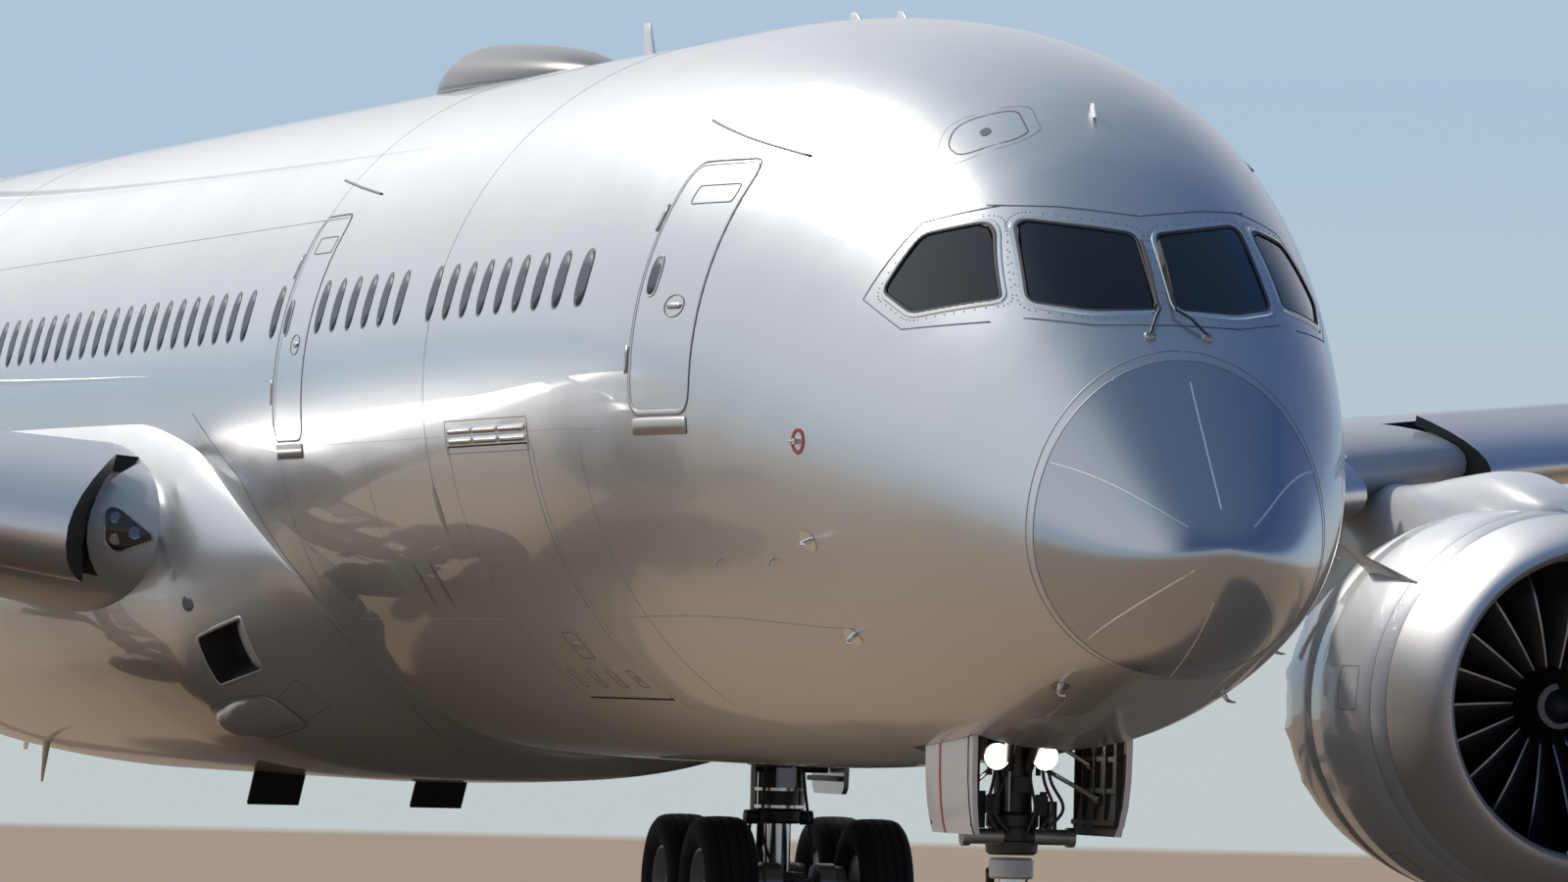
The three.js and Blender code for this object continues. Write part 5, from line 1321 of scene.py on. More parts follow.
# %% Slats
# Inner and outer end, depth at each, radius of the tracks, and shares of the length where they stand
SLATS = {"slat_inboard": (3.75, 8.9, (1.2, 0.98), 1.7, (0.2, 0.8)),
         "slat_outboard": (10.6, 27.2, (0.95, 0.42), 1.15, (0.08, 0.4, 0.72))}
SLAT_REST, TRACK_TALL, TRACK_WIDE, TRACK_INTO = math.radians(14), 0.1, 0.07, math.radians(26)
slat_metal = make_finish("slat_aluminium", (0.82, 0.80, 0.80), metal=0.95, rough=0.33, vary=0.05, grain=0.05)
for kind, (start, end, chords, radius, shares) in SLATS.items():
    hinge = HingeFrame(*[full(linear(WING, y, 1), y, linear(WING, y, 3)) for y in (start, end)])

    def nose_outline(key, depth, grow):
        leading, chord, ratio = (linear(WING, key, c) for c in (1, 2, 4))
        half = half_thickness(depth * 1.1 / chord, ratio) * chord
        back = [(depth + grow, 2), (depth + grow, half * 0.93), (depth * 0.68, half * 0.78),
                (depth * 0.42, half * 0.42), (depth * 0.32, -half * 0.1), (depth * 0.36, -half * 0.62),
                (depth * 0.42, -2)]
        chain = [(a + grow, n) for a, n in back]
        return chain + [(-1, n) for _, n in reversed(chain)]

    outlines = [[nose_outline(key, depth, grow) for key, depth in zip((start, end), chords)]
                for grow in (0, GAP)]
    axis_point = hinge.inner + hinge.aft * 0.55 * chords[0] - hinge.normal * radius
    length = (hinge.outer - hinge.inner).length

    def track(share, grow):
        centre = axis_point + hinge.along * share * length
        depth = chords[0] + share * (chords[1] - chords[0])
        begin = math.atan2(0.55 * chords[0] - 0.2 * depth, radius)
        tall, wide = TRACK_TALL / 2 + grow, TRACK_WIDE / 2 + grow
        rings = []
        for step in range(9):
            turn = -begin + step / 8 * (begin + TRACK_INTO + grow)
            out = hinge.normal * math.cos(turn) + hinge.aft * math.sin(turn)
            rings.append([centre + hinge.along * w + out * (radius - 0.05 + r)
                          for w, r in ((-wide, -tall), (wide, -tall), (wide, tall), (-wide, tall))])
        return loft(rings, 1)

    surface = boolean(wing_shape.copy(), hinge.prism(outlines[0]), "INTERSECT")
    surface = boolean(surface, fairing_room)
    wing_cut = boolean(wing_cut, hinge.prism(outlines[1], GAP))
    for share in shares:
        wing_cut = boolean(wing_cut, track(share, GAP))
    solids = [surface, *[track(share, 0) for share in shares]]
    pivot = Matrix.Translation(axis_point * SCALE)
    droop = pivot @ Matrix.Rotation(SLAT_REST, 4, hinge.along) @ pivot.inverted()
    for mesh in solids:
        mesh.transform(droop)
    both_sides(f"{kind}_skin", solids, [slat_metal, gear_dark], f"{kind}_*", 35, [f"{kind}_*"])


def tree_of(mesh):
    return BVHTree.FromPolygons([v.co for v in mesh.vertices], [p.vertices for p in mesh.polygons])


wing_tree = tree_of(wing_cut)


def on_wing_nose(y, rise):
    """A place on the left wing's nose by distance off the centre and height over the leading edge."""
    start = full(15, y, linear(WING, y, 3) + rise) * SCALE
    at, out, _, _ = wing_tree.ray_cast(start, -AHEAD)
    return at, (out + AHEAD).normalized()


def on_either(place, side):
    """The same places on the left or the right, from those on the left."""
    def placed(a, b):
        at, out = place(a, b)
        return Vector((at.x, side * at.y, at.z)), Vector((out.x, side * out.y, out.z))
    return placed


for word, side in SIDES.items():
    lights, place = Sheet(), on_either(on_wing_nose, side)
    window = rounded([(3.18, -0.02), (3.50, -0.20), (3.60, -0.12), (3.60, 0.16), (3.50, 0.22)], 0.09)
    patch(lights, window, place, 0.003, 14, 14)
    band(lights, window, place, 0.006, 0, step=0.04, closed=True, thick=0.005, pick=1)
    for y, rise, size in ((3.51, 0.11, 0.8), (3.51, -0.08, 0.8), (3.36, 0.0, 0.9)):
        at, out = place(y, rise)
        lamp = [(0.0, 0.034), (0.004, 0.032), (0.005, 0.024), (0.0045, 0.0)]
        lights.rows(turned_rows(at + out * 0.003, out, [(a, r * size) for a, r in lamp], 20), 2, closed=True)
    cap = [(3.10, -0.5), (3.12, -0.25), (3.12, 0.0), (3.12, 0.25), (3.10, 0.5)]
    band(lights, cap, place, 0.004, 0.0016, step=0.05, pick=3)
    thin_piece(f"root_lights_{word}", lights, [glass, steel, lamp_glass, seam_shade], 0.001)
jack_pad = rod(full(29.6, 6, 4.1), full(29.6, 6, 3.74), 0.12)
# The walls of the bays cut for the moving surfaces take the near-black painted shade.
both_sides("wing_skin", [wing_cut, jack_pad], [wing_grey, cavity_painted_shade], None, 32, ["wing_*"])
print("slats done, wing faces", len(wing_cut.polygons))

# %% [markdown]
# The tail repeats the same steps: a tailplane with an elevator on each side, and one fin with its rudder.

# %% Tail
def tail_ends(rows, share, keys):
    """A hinge's ends, as keys of the table and stations that leave a share of the chord behind."""
    return [(key, linear(rows, key, 1) + (1 - share) * linear(rows, key, 2)) for key in keys]


TAIL_SHARE, ELEVATOR_KEYS, RUDDER_SHARE, RUDDER_KEYS = 0.3, (1.75, 9.0), 0.34, (8.75, 16.1)
tail_shape = loft(wing_rings(TAILPLANE, [*spread(0.5, 9.2, 14), *spread(9.2, 9.9, 8)[1:]]))
ends = tail_ends(TAILPLANE, TAIL_SHARE, ELEVATOR_KEYS)
hinge = HingeFrame(*[full(s, y, middle_height(TAILPLANE, y, s)) for y, s in ends])
radii = nose_radii(TAILPLANE, (1, 2, 4), ends)
elevator = boolean(tail_shape.copy(), hinge.round_nosed(radii, 0), "INTERSECT")
stabiliser = boolean(tail_shape, hinge.round_nosed(radii, GAP))
both_sides("elevator_skin", [elevator], [mica, steel], "elevator_*", 32, ["elevator_*"])
# The walls of the elevator's cut bay take the near-black painted shade.
both_sides("stabiliser_skin", [stabiliser], [mica, cavity_painted_shade], None, 32, ["stabiliser_*"])

fin_rings = []
for z in [*spread(7.0, 16.2, 20), *spread(16.2, 17.02, 8)[1:]]:
    leading, chord, ratio = (eased(FIN, z, c) for c in (1, 2, 3))
    fin_rings.append(aerofoil(leading, chord, ratio, lambda s, h, z=z: full(s, h, z), camber=0))
fin_shape = loft(fin_rings)
ends = tail_ends(FIN, RUDDER_SHARE, RUDDER_KEYS)
hinge = HingeFrame(*[full(s, 0, z) for z, s in ends])
radii = nose_radii(FIN, (1, 2, 3), ends)
rudder = boolean(fin_shape.copy(), hinge.round_nosed(radii, 0), "INTERSECT")
fin = boolean(fin_shape, hinge.round_nosed(radii, GAP))
settle("rudder_skin", [rudder], [mica, steel], "rudder", 32, ["rudder"])
# The walls of the rudder's cut bay take the near-black painted shade.
settle("fin_skin", [fin], [mica, cavity_painted_shade], "airframe", 32, ["fin"])
print("tail done")

# %% [markdown]
# The fairing has a seam at its front, a scoop that lets cooling air in, a plate, and a blister over the
# outlet. They are drawn on its surface by station and turn, and the scoop is cut into it and gets a ramp
# and a bright frame.

# %% Wing to body fairing
def on_fairing(station, turn):
    step = 1e-3
    at = fairing_point(station, turn)
    along = fairing_point(station + step, turn) - at
    around = fairing_point(station, turn + step) - at
    return at * SCALE, around.cross(along).normalized()


fairing = fairing_solid()
fairing_piece = settle("fairing_skin", [fairing], [mica, cavity_painted_shade], "airframe", 50, ["wing_body_fairing"])
fairing_tree = tree_of(fairing)
SEAM = [(22.42, 2.88, 4.95), (20.68, 2.81, 4.36), (19.52, 2.47, 3.48), (19.28, 2.08, 2.94),
        (19.35, 1.54, 2.48), (20.45, 0.74, 2.11)]
INLET = [(21.56, 1.788), (20.78, 1.668), (20.84, 2.028), (21.62, 2.076)]
OUTLET = [(22.4, 2.25), (21.6, 2.18), (21.08, 2.22), (21.14, 2.42), (21.9, 2.42), (22.6, 2.38)]
PLATE = [(21.04, 2.23), (20.54, 2.14), (20.54, 2.376), (21.1, 2.42)]


def outer_skin(station, turn):
    """The outer one of the fuselage skin and the fairing."""
    at, out = skin(station, turn)
    found = fairing_tree.ray_cast(at + out * 0.3, -out, 0.3)
    return (at if found[0] is None else found[0]), out


def blister(outline, place, rise):
    """A low smooth cover over an outline, highest near its rear end."""
    columns, levels = 26, 12
    flat = slab(outline, place, -0.004, 0.0, columns, levels)
    rings = 2 * (levels + 1)
    for i in range(columns + 1):
        along = math.sin(math.pi * min(1.0, (i / columns) ** 1.6))
        for j in range(levels + 1):
            across = 1 - abs(2 * j / levels - 1) ** 3
            k = i * rings + rings - 1 - j
            at, under = flat.points[k], flat.points[i * rings + j]
            flat.points[k] = at + (at - under).normalized() * rise * along * across
    return flat


lines, covers = Sheet(), Sheet()
for side in (1, -1):
    band(lines, [(s, side * turn_of(s, y, z)) for s, y, z in SEAM], outer_skin, 0.0045, 0.0012, step=0.15)
    mouth, outlet, plate = ([(s, side * turn) for s, turn in shape] for shape in (INLET, OUTLET, PLATE))
    # The walls of the scoop's cut take the near-black painted shade.
    carve(fairing_piece, slab(rounded(mouth, 0.05), on_fairing, -0.16, 0.02, 10, 6), 1)
    band(covers, rounded(mouth, 0.05), on_fairing, 0.012, 0, step=0.15, closed=True, thick=0.004)
    ramp = []
    for share in spread(0.02, 0.62, 8):
        deep = -0.002 - 0.13 * (share / 0.62) ** 1.4
        first, last = (Vector(mouth[a]).lerp(Vector(mouth[b]), share) for a, b in ((1, 0), (2, 3)))
        spots = [on_fairing(*first.lerp(last, k / 6)) for k in range(7)]
        ramp.append([at + out * deep for at, out in spots])
    covers.rows(ramp, 1)
    raised = blister(rounded(outlet, 0.16), on_fairing, 0.045)
    covers.add(raised.points, raised.faces)
    band(lines, rounded(plate, 0.03), on_fairing, 0.003, 0.0012, step=0.1, closed=True)
    band(lines, rounded(grown(outlet, 0.03), 0.16), on_fairing, 0.004, 0.0012, step=0.15, closed=True)
    patch(lines, oval((21.62, side * 1.632), 0.2, 0.062, 2.0), on_fairing, 0.001, 8, 4)
thin_piece("fairing_lines", lines, [seam_shade], 0.0008)
thin_piece("fairing_covers", covers, [mica, wing_grey], 0.002, crease=60)
door_ring = [(28.1, 1.74), (28.14, 1.76), (28.46, 1.44), (28.42, 1.42)]
outlet_door = loft([[full(s, y, z) for s, z in door_ring] for y in (0.54, 1.03)])
# The outlet doors are painted near black as shade.
both_sides("pack_outlet_doors", [outlet_door], [cavity_painted_shade])
mast = rod(full(33.3, 2.0, 2.1), full(33.6, 2.0, 1.55), 0.05, end_radius=0.012)
settle("drain_mast", [mirrored(mast)], [white_enamel])
print("fairing done")

# %% [markdown]
# A nacelle is a body of revolution: a polished lip that a deicing pipe keeps warm, a grey band behind it,
# the fan cowls, and a nozzle whose rear edge is cut into chevrons to quieten it. One closed profile is
# turned round, and each row of its faces takes its own finish.

# %% Nacelles
ENGINE = {"side": 9.76, "height": 2.62, "lip": 20.65, "fan": 1.62, "blades": 18, "chevrons": 18}
NACELLE = [(0.62, 1.34), (0.35, 1.345), (0.14, 1.362), (0.04, 1.392), (0.0, 1.43), (0.012, 1.468),
           (0.045, 1.503), (0.10, 1.54), (0.18, 1.58), (0.3, 1.623), (0.45, 1.662), (0.65, 1.703),
           (0.95, 1.748), (0.956, 1.744), (0.962, 1.749), (1.3, 1.787), (1.306, 1.783), (1.312, 1.788),
           (1.8, 1.82), (2.2, 1.827), (2.6, 1.83), (3.05, 1.806), (3.056, 1.801), (3.062, 1.805),
           (3.5, 1.765), (4.0, 1.695), (4.45, 1.618), (4.85, 1.53), (4.85, 1.512), (4.4, 1.525),
           (3.8, 1.545), (2.6, 1.5), (1.7, 1.41), (1.2, 1.37), (0.62, 1.34)]
NACELLE_PICKS = [3, 0, *[0] * 10, 4, 4, 1, 4, 4, *[2] * 4, 4, 4, *[2] * 4, 5, *[5] * 3, 3, 3, 3]
NACELLE_OUTER = NACELLE[4:28]
NOTCH, NACELLE_AROUND = 0.32, 216
hub = full(ENGINE["lip"], ENGINE["side"], ENGINE["height"])


def radial_way(turn):
    """The way out from an engine's axis, by turn from the top, growing outboard."""
    return Vector((0, math.sin(turn), math.cos(turn)))


def around_way(turn):
    return Vector((0, math.cos(turn), -math.sin(turn)))


def on_nacelle(along, turn):
    """A place on the left nacelle by distance behind the lip and turn from its top."""
    radius = linear(NACELLE_OUTER, along, 1)
    slope = (linear(NACELLE_OUTER, along + 0.02, 1) - radius) / 0.02
    way = radial_way(turn)
    return (hub + AFT * along + way * radius) * SCALE, (way + Vector((slope, 0, 0))).normalized()


def nacelle_rows():
    rows = []
    for along, radius in NACELLE:
        ring = []
        for k in range(NACELLE_AROUND):
            turn = 2 * math.pi * k / NACELLE_AROUND
            phase = (k * ENGINE["chevrons"] / NACELLE_AROUND) % 1.0
            tooth = NOTCH * (1 - abs(2 * phase - 1)) ** 1.25 if along > 4.6 else 0.0
            ring.append(hub + AFT * (along - tooth) + radial_way(turn) * radius)
        rows.append(ring)
    return rows


# The intake's lining is painted near black, though the real lining is light grey: painted shade for the
# inside of the intake.
inlet_liner_painted_shade = make_finish("acoustic_liner_painted_shade", (0.05, 0.05, 0.055), metal=0.3, rough=0.5, vary=0.1, grain=0.3,
                          grain_size=180)
shell = solid(Sheet().rows(nacelle_rows(), closed=True, picks=NACELLE_PICKS))
nacelle_finishes = [lip_metal, band_grey, cowl_grey, inlet_liner_painted_shade, seam_shade, titanium]
both_sides("nacelle_skin", [shell], nacelle_finishes, None, 40, ["nacelle_*"])
CORE = [(2.1, 0), (2.1, 0.6), (2.3, 0.69), (2.7, 0.78), (3.3, 0.88), (4.0, 0.92), (4.6, 0.9), (5.1, 0.84),
        (5.5, 0.75), (5.9, 0.64), (5.9, 0.62), (5.3, 0.6), (5.35, 0.56), (5.92, 0.52), (6.3, 0.46),
        (6.7, 0.33), (7.0, 0.2), (7.2, 0.08), (7.25, 0)]
core = turned(hub, AFT, CORE, 96)
VANES, VANE_SECTION = 40, [(0, 0), (0.12, 0.02), (0.34, 0.0), (0.12, -0.02)]
vanes = []
for k in range(VANES):
    turn = 2 * math.pi * k / VANES
    vanes.append(loft([[hub + AFT * (2.25 + a) + radial_way(turn) * r + around_way(turn) * (b + a * 0.55)
                        for a, b in VANE_SECTION] for r in (0.62, 1.43)]))
both_sides("engine_core_skin", [core], [titanium], None, 35, ["engine_core_*"])
# The guide vanes take the same near-black painted shade.
both_sides("guide_vanes", vanes, [inlet_liner_painted_shade], None, 35)
print("nacelle faces", len(shell.polygons))

# %% [markdown]
# The fan has wide blades of dark composite with a thin metal leading edge, twisted from root to tip and
# swept back and forth. Blades and spinner are darker than the composite, with painted shade for the intake.
# The spinner in front carries a pale ring, so that ground crew see it turn.

# %% Fans
# Radius, half chord, twist in degrees, and how far the section lies aft
BLADE = [(0.30, 0.14, 38, 0.02), (0.5, 0.17, 42, -0.01), (0.75, 0.2, 47, -0.04), (1.0, 0.225, 52, -0.03),
         (1.2, 0.24, 56, 0.03), (1.37, 0.235, 60, 0.11)]
BLADE_AROUND = 16
SPINNER = [(1.12, 0), (1.13, 0.05), (1.16, 0.1), (1.22, 0.17), (1.3, 0.235), (1.4, 0.3), (1.5, 0.35),
           (1.62, 0.395), (1.75, 0.425), (2.0, 0.45), (2.0, 0)]


def fan_blade(turn):
    radial, around = radial_way(turn), around_way(turn)
    rings = []
    for radius in spread(0.30, 1.37, 14):
        half, twist, sweep = (eased(BLADE, radius, c) for c in (1, 2, 3))
        angle = math.radians(twist)
        chordwise = -AFT * math.cos(angle) + around * math.sin(angle)
        thick = chordwise.cross(radial).normalized()
        base = hub + AFT * (ENGINE["fan"] + sweep) + radial * radius
        ring = []
        for k in range(BLADE_AROUND):
            t = 2 * math.pi * k / BLADE_AROUND
            bow = 0.035 * (1 - math.cos(t) ** 2)
            ring.append(base + chordwise * half * math.cos(t) + thick * (0.016 * math.sin(t) + bow))
        rings.append(ring)
    sheet = Sheet().rows(rings, closed=True)
    sheet.picks = [1 if i % BLADE_AROUND in (0, BLADE_AROUND - 1) else 0 for i in range(len(sheet.faces))]
    return solid(sheet.cap(rings[0]).cap(rings[-1]))


spinner = turned(hub, AFT, SPINNER, 72)
ring_rows = []
for radius, along in ((0.160, 1.217), (0.161, 1.192), (0.208, 1.240), (0.209, 1.264)):
    ring_rows.append([hub + AFT * along + radial_way(t) * radius
                      for t in spread(0.5, 2 * math.pi - 0.15, 48)])
mark = solid(Sheet().rows(ring_rows, 2))
fan_metal = make_finish("blade_edge", (0.45, 0.45, 0.45), metal=1.0, rough=0.35)
mark_paint = make_finish("spinner_mark", (0.42, 0.42, 0.42), rough=0.5, vary=0.1)
fan_blades = [fan_blade(2 * math.pi * k / ENGINE["blades"]) for k in range(ENGINE["blades"])]
fan_solids = [spinner, *fan_blades, mark]
# Blades and spinner take the dark composite finish with painted shade.
both_sides("fan_rotor", fan_solids, [blade_dark_and_shade, fan_metal, mark_paint], "fan_*", 40, ["fan_*"])
print("fans done")

# %% [markdown]
# The pylon hangs the engine on the wing. Its front shows as a broad white hump that flows out of the
# nacelle, and behind that it narrows under the wing. A pointed fin on the cowl's inner shoulder, the chine,
# tidies the air there.

# %% Pylons and chines
# Station, half width, top and bottom
PYLON = [(21.75, 0.03, 4.40, 4.1), (21.95, 0.24, 4.50, 4.0), (22.5, 0.40, 4.66, 3.9), (23.4, 0.45, 4.78, 3.7),
         (24.4, 0.45, 4.75, 3.5), (25.4, 0.44, 4.70, 3.3), (26.4, 0.42, 4.68, 3.2), (27.0, 0.38, 4.72, 3.1),
         (27.6, 0.33, 4.86, 3.1), (29.6, 0.24, 4.95, 3.5), (31.2, 0.14, 4.95, 4.05), (32.3, 0.04, 4.95, 4.5)]


def pylon_point(station, turn):
    half, top, bottom = (eased(PYLON, station, c) for c in (1, 2, 3))
    up, out = math.cos(turn), math.sin(turn)
    shoulder = 0.5 if up > 0 else 0.35
    wide = top - min(0.62, (top - bottom) / 2)
    rise = top - wide if up > 0 else wide - bottom
    return full(station, ENGINE["side"] + half * math.copysign(abs(out) ** 0.62, out),
                wide + rise * math.copysign(abs(up) ** (1.15 if up > 0 else shoulder), up))


pylon = loft([[pylon_point(s, 2 * math.pi * k / 64) for k in range(64)]
              for s in [*spread(21.75, 22.5, 10), *spread(22.5, 32.3, 50)[1:]]])
both_sides("pylon_skin", [pylon], [white_enamel], None, 50, ["pylon_*"])


def chine_ring(share):
    along = 1.2 + 1.5 * share
    turn = -math.radians(52 - 3 * share)
    at, out = on_nacelle(along, turn)
    at = at / SCALE
    side = AHEAD.cross(out).normalized()
    tall, thick = 0.02 + 0.40 * share ** 1.15, 0.012 + 0.02 * share * (1 - share)
    return [at - side * thick * 2 - out * 0.05, at - side * thick * 0.5 + out * tall * 0.9, at + out * tall,
            at + side * thick * 0.5 + out * tall * 0.9, at + side * thick * 2 - out * 0.05]


chine = loft([chine_ring(t) for t in spread(0, 1, 16)])
both_sides("cowl_chine", [chine], [cowl_grey], None, 30)
# Turn from the top, distance behind the lip, length and width as a turn
COWL_PANELS = [(1.5, 1.9, 0.5, 0.22), (-1.5, 1.9, 0.5, 0.22), (2.5, 2.3, 0.4, 0.15),
               (-2.5, 2.3, 0.4, 0.15), (0.5, 2.4, 0.3, 0.12)]
for word, side in SIDES.items():
    lines, cowl_place = Sheet(), on_either(on_nacelle, side)
    for turn in (0.0, math.pi):
        band(lines, [(a, turn + 0.03) for a in spread(1.35, 4.5, 20)], cowl_place, 0.004, SKIN_LIFT, step=1.0)
    for turn, along, width, tall in COWL_PANELS:
        panel = rectangle((along, turn), width, tall, 0.04)
        groove(lines, panel, cowl_place, 0.003, step=0.1)
    for along in (1.13, 3.06):
        for k in range(60):
            turn = 2 * math.pi * k / 60
            patch(lines, oval((along + 0.04, turn), 0.014, 0.009, 2.0, 8), cowl_place, 0.0008, 2, 2, pick=1)
    thin_piece(f"cowl_lines_{word}", lines, [seam_shade, steel], 0.0005)
print("pylons done")

# %% [markdown]
# Landing gear is forged steel in many parts. Each leg is a fixed cylinder with a sliding piston, held by
# braces, with torque links that keep the wheels straight, hoses and wires strapped along it. Tyres are
# turned from a profile with tread grooves, and each wheel has a dished hub with bolts.

# %% Wheels
def tyre_solid(centre, radius, width):
    half = width / 2
    profile = [(-0.62, 0.50), (-0.86, 0.58), (-0.98, 0.70), (-1.0, 0.80), (-0.93, 0.90), (-0.8, 0.962)]
    tread = []
    for a in (-0.56, -0.2, 0.2, 0.56):
        tread += [(a - 0.045, 0.0), (a - 0.04, -0.018), (a + 0.04, -0.018), (a + 0.045, 0.0)]
    crown = [(a, 1.0 - 0.03 * a * a + dip) for a, dip in tread]
    whole = [*profile, *crown, *[(-a, r) for a, r in reversed(profile)]]
    rows = turned_rows(centre, (0, 1, 0), [(a * half, r * radius) for a, r in whole], 64)
    return solid(Sheet().rows([*rows, rows[0]], closed=True))


def hub_solids(centre, radius, width, face):
    """A dished wheel with a bolt ring. Face is the side that looks outward, 1 or -1."""
    half = width / 2
    dish = [(-0.6, 0), (-0.6, 0.5), (-0.66, 0.535), (-0.74, 0.54), (-0.74, 0.51), (-0.62, 0.49), (-0.2, 0.47),
            (-0.1, 0.36), (-0.16, 0.24), (-0.4, 0.2), (-0.42, 0.12), (-0.52, 0.1), (-0.52, 0)]
    outer = [(-face * a * half, r * radius) for a, r in dish[3:]]
    inner = [(face * -0.62 * half, 0), (face * -0.62 * half, 0.5 * radius)]
    rim = [(face * 0.7 * half, 0.52 * radius)]
    disc = turned(centre, (0, 1, 0), [*inner, *rim, *outer], 48, 1)
    solids = [disc]
    ring = 0.30 * radius
    for k in range(10):
        turn = 2 * math.pi * k / 10
        place = centre + Vector((math.sin(turn) * ring, face * 0.12 * half, math.cos(turn) * ring))
        solids.append(rod(place, place + Vector((0, face * 0.045, 0)), 0.022, 8, 2))
    return solids


def wheel_pair(centre, gauge, radius, width, axle):
    solids = []
    for face in (-1, 1):
        middle = centre + Vector((0, face * gauge / 2, 0))
        solids += [tyre_solid(middle, radius, width), *hub_solids(middle, radius, width, face)]
    reach = gauge / 2 - width * 0.25
    solids.append(rod(centre - Vector((0, reach, 0)), centre + Vector((0, reach, 0)), axle, 20, 2))
    return solids


wheel_finishes = [tyre, gear_paint, steel]
nose_pair = wheel_pair(full(5.5, 0, 0.508), 0.66, 0.508, 0.4, 0.055)
settle("nose_tyres", nose_pair, wheel_finishes, "nose_wheels", 32, ["nose_wheels"])
for where, station in (("front", 30.64), ("rear", 32.16)):
    pair = wheel_pair(full(station, 4.9, 0.685), 1.55, 0.685, 0.53, 0.085)
    both_sides(f"main_tyres_{where}", pair, wheel_finishes, f"main_wheels_{where}_*", 32,
               [f"main_wheels_{where}_*"])
print("wheels done")

# %% Nose gear
NOSE_STATION = 5.5


def nose_at(ahead, y, z):
    return full(NOSE_STATION - ahead, y, z)


def hose(points, radius, pick=2):
    """A hose or wire along a smooth path through a few points."""
    rows = [(i, *p) for i, p in enumerate(points)]
    last = len(points) - 1
    path = [Vector([eased(rows, t, c) for c in (1, 2, 3)]) for t in spread(0, last, 6 * last)]
    return solid(tube(Sheet(), path, radius, 8, pick))


def rods(place, side, rows):
    """Round bars on one side, as rows of both ends, radius, faces round and finish."""
    return [rod(place(a, side * y, z), place(b, side * w, h), radius, count, pick)
            for (a, y, z), (b, w, h), radius, count, pick in rows]


NOSE_RODS = [((0, 0.10, 2.25), (0, 0.45, 3.02), 0.05, 14, 0),
             ((0.95, 0.2, 3.12), (0.08, 0.07, 2.02), 0.045, 14, 0),
             ((0.45, 0.13, 2.5), (-0.3, 0.12, 3.1), 0.03, 12, 0),
             ((0.16, 0.12, 1.56), (0.16, 0.40, 1.56), 0.06, 18, 1),
             ((0.16, 0.38, 1.56), (0.16, 0.44, 1.56), 0.075, 18, 1),
             ((0.16, 0.06, 1.56), (0.16, 0.14, 1.56), 0.035, 12, 2),
             ((0.02, 0.19, 2.02), (0.02, 0.19, 2.32), 0.02, 10, 2),
             ((0.0, 0.24, 1.62), (0.0, 0.24, 1.9), 0.028, 10, 2)]
COLLAR = [(0, 0), (0, 0.17), (0.02, 0.195), (0.1, 0.2), (0.11, 0.18), (0.2, 0.18), (0.22, 0.2), (0.3, 0.2),
          (0.33, 0.15), (0.4, 0.145), (0.4, 0)]
SLEEVE = [(0, 0), (0, 0.16), (0.03, 0.18), (0.2, 0.18), (0.23, 0.16), (0.23, 0)]
UP = (0, 0, 1)
leg = [rod(nose_at(0, 0, 1.72), nose_at(0, 0, 3.28), 0.145, 28),
       turned(nose_at(0, 0, 1.42), UP, COLLAR, 32),
       rod(nose_at(0, -0.62, 3.05), nose_at(0, 0.62, 3.05), 0.09, 20),
       turned(nose_at(0, 0, 2.3), UP, SLEEVE, 28)]
for side in (-1, 1):
    leg += rods(nose_at, side, NOSE_RODS)
    leg.append(brick(nose_at(0.1, side * 0.22, 1.56), (0.12, 0.1, 0.1), 0))
    leg.append(brick(nose_at(0.12, side * 0.19, 1.80), (0.09, 0.09, 0.16), 2))
leg += rods(nose_at, 1, [((0.14, -0.07, 1.75), (0.14, -0.07, 2.9), 0.022, 10, 1),
                         ((0.10, 0.28, 1.58), (0.10, 0.28, 1.83), 0.04, 14, 1)])
leg.append(brick(nose_at(0.15, 0.02, 1.95), (0.06, 0.14, 0.12), 2))
for y, swing in ((-0.16, -0.10), (0.15, 0.10), (0.07, 0.04), (-0.05, -0.16), (0.18, 0.15)):
    leg.append(hose([nose_at(0.1, y, 2.9), nose_at(0.17, y, 2.4), nose_at(0.18, y + swing * 0.4, 2.0),
                     nose_at(0.24, y + swing, 1.78), nose_at(0.16, y * 0.8, 1.55)], 0.013))
settle("nose_leg", leg, [gear_dark, steel, seal], "airframe", 35, ["nose_gear_leg"])

LAMP_WAY = (1, 0, -0.03)
HOUSING = [(-0.09, 0), (-0.09, 0.05), (-0.02, 0.098), (0.03, 0.105), (0.035, 0.098), (0.02, 0.092), (0.02, 0)]
LENS = [(0.0, 0), (0.018, 0.09), (0.028, 0.075), (0.034, 0.04), (0.036, 0)]
lamps, housings = [], []
for side in (-1, 1):
    at = nose_at(0.18, side * 0.19, 2.163)
    housings.append(turned(at, LAMP_WAY, HOUSING, 28))
    housings.append(rod(at - Vector((0.07, 0, 0)), nose_at(0.0, side * 0.1, 2.2), 0.025, 10))
    lamps.append(turned(at, LAMP_WAY, LENS, 28))
settle("taxi_lamp_housings", housings, [steel], "airframe", 35)
settle("taxi_lamps", lamps, [lamp_lens], "airframe", 60)

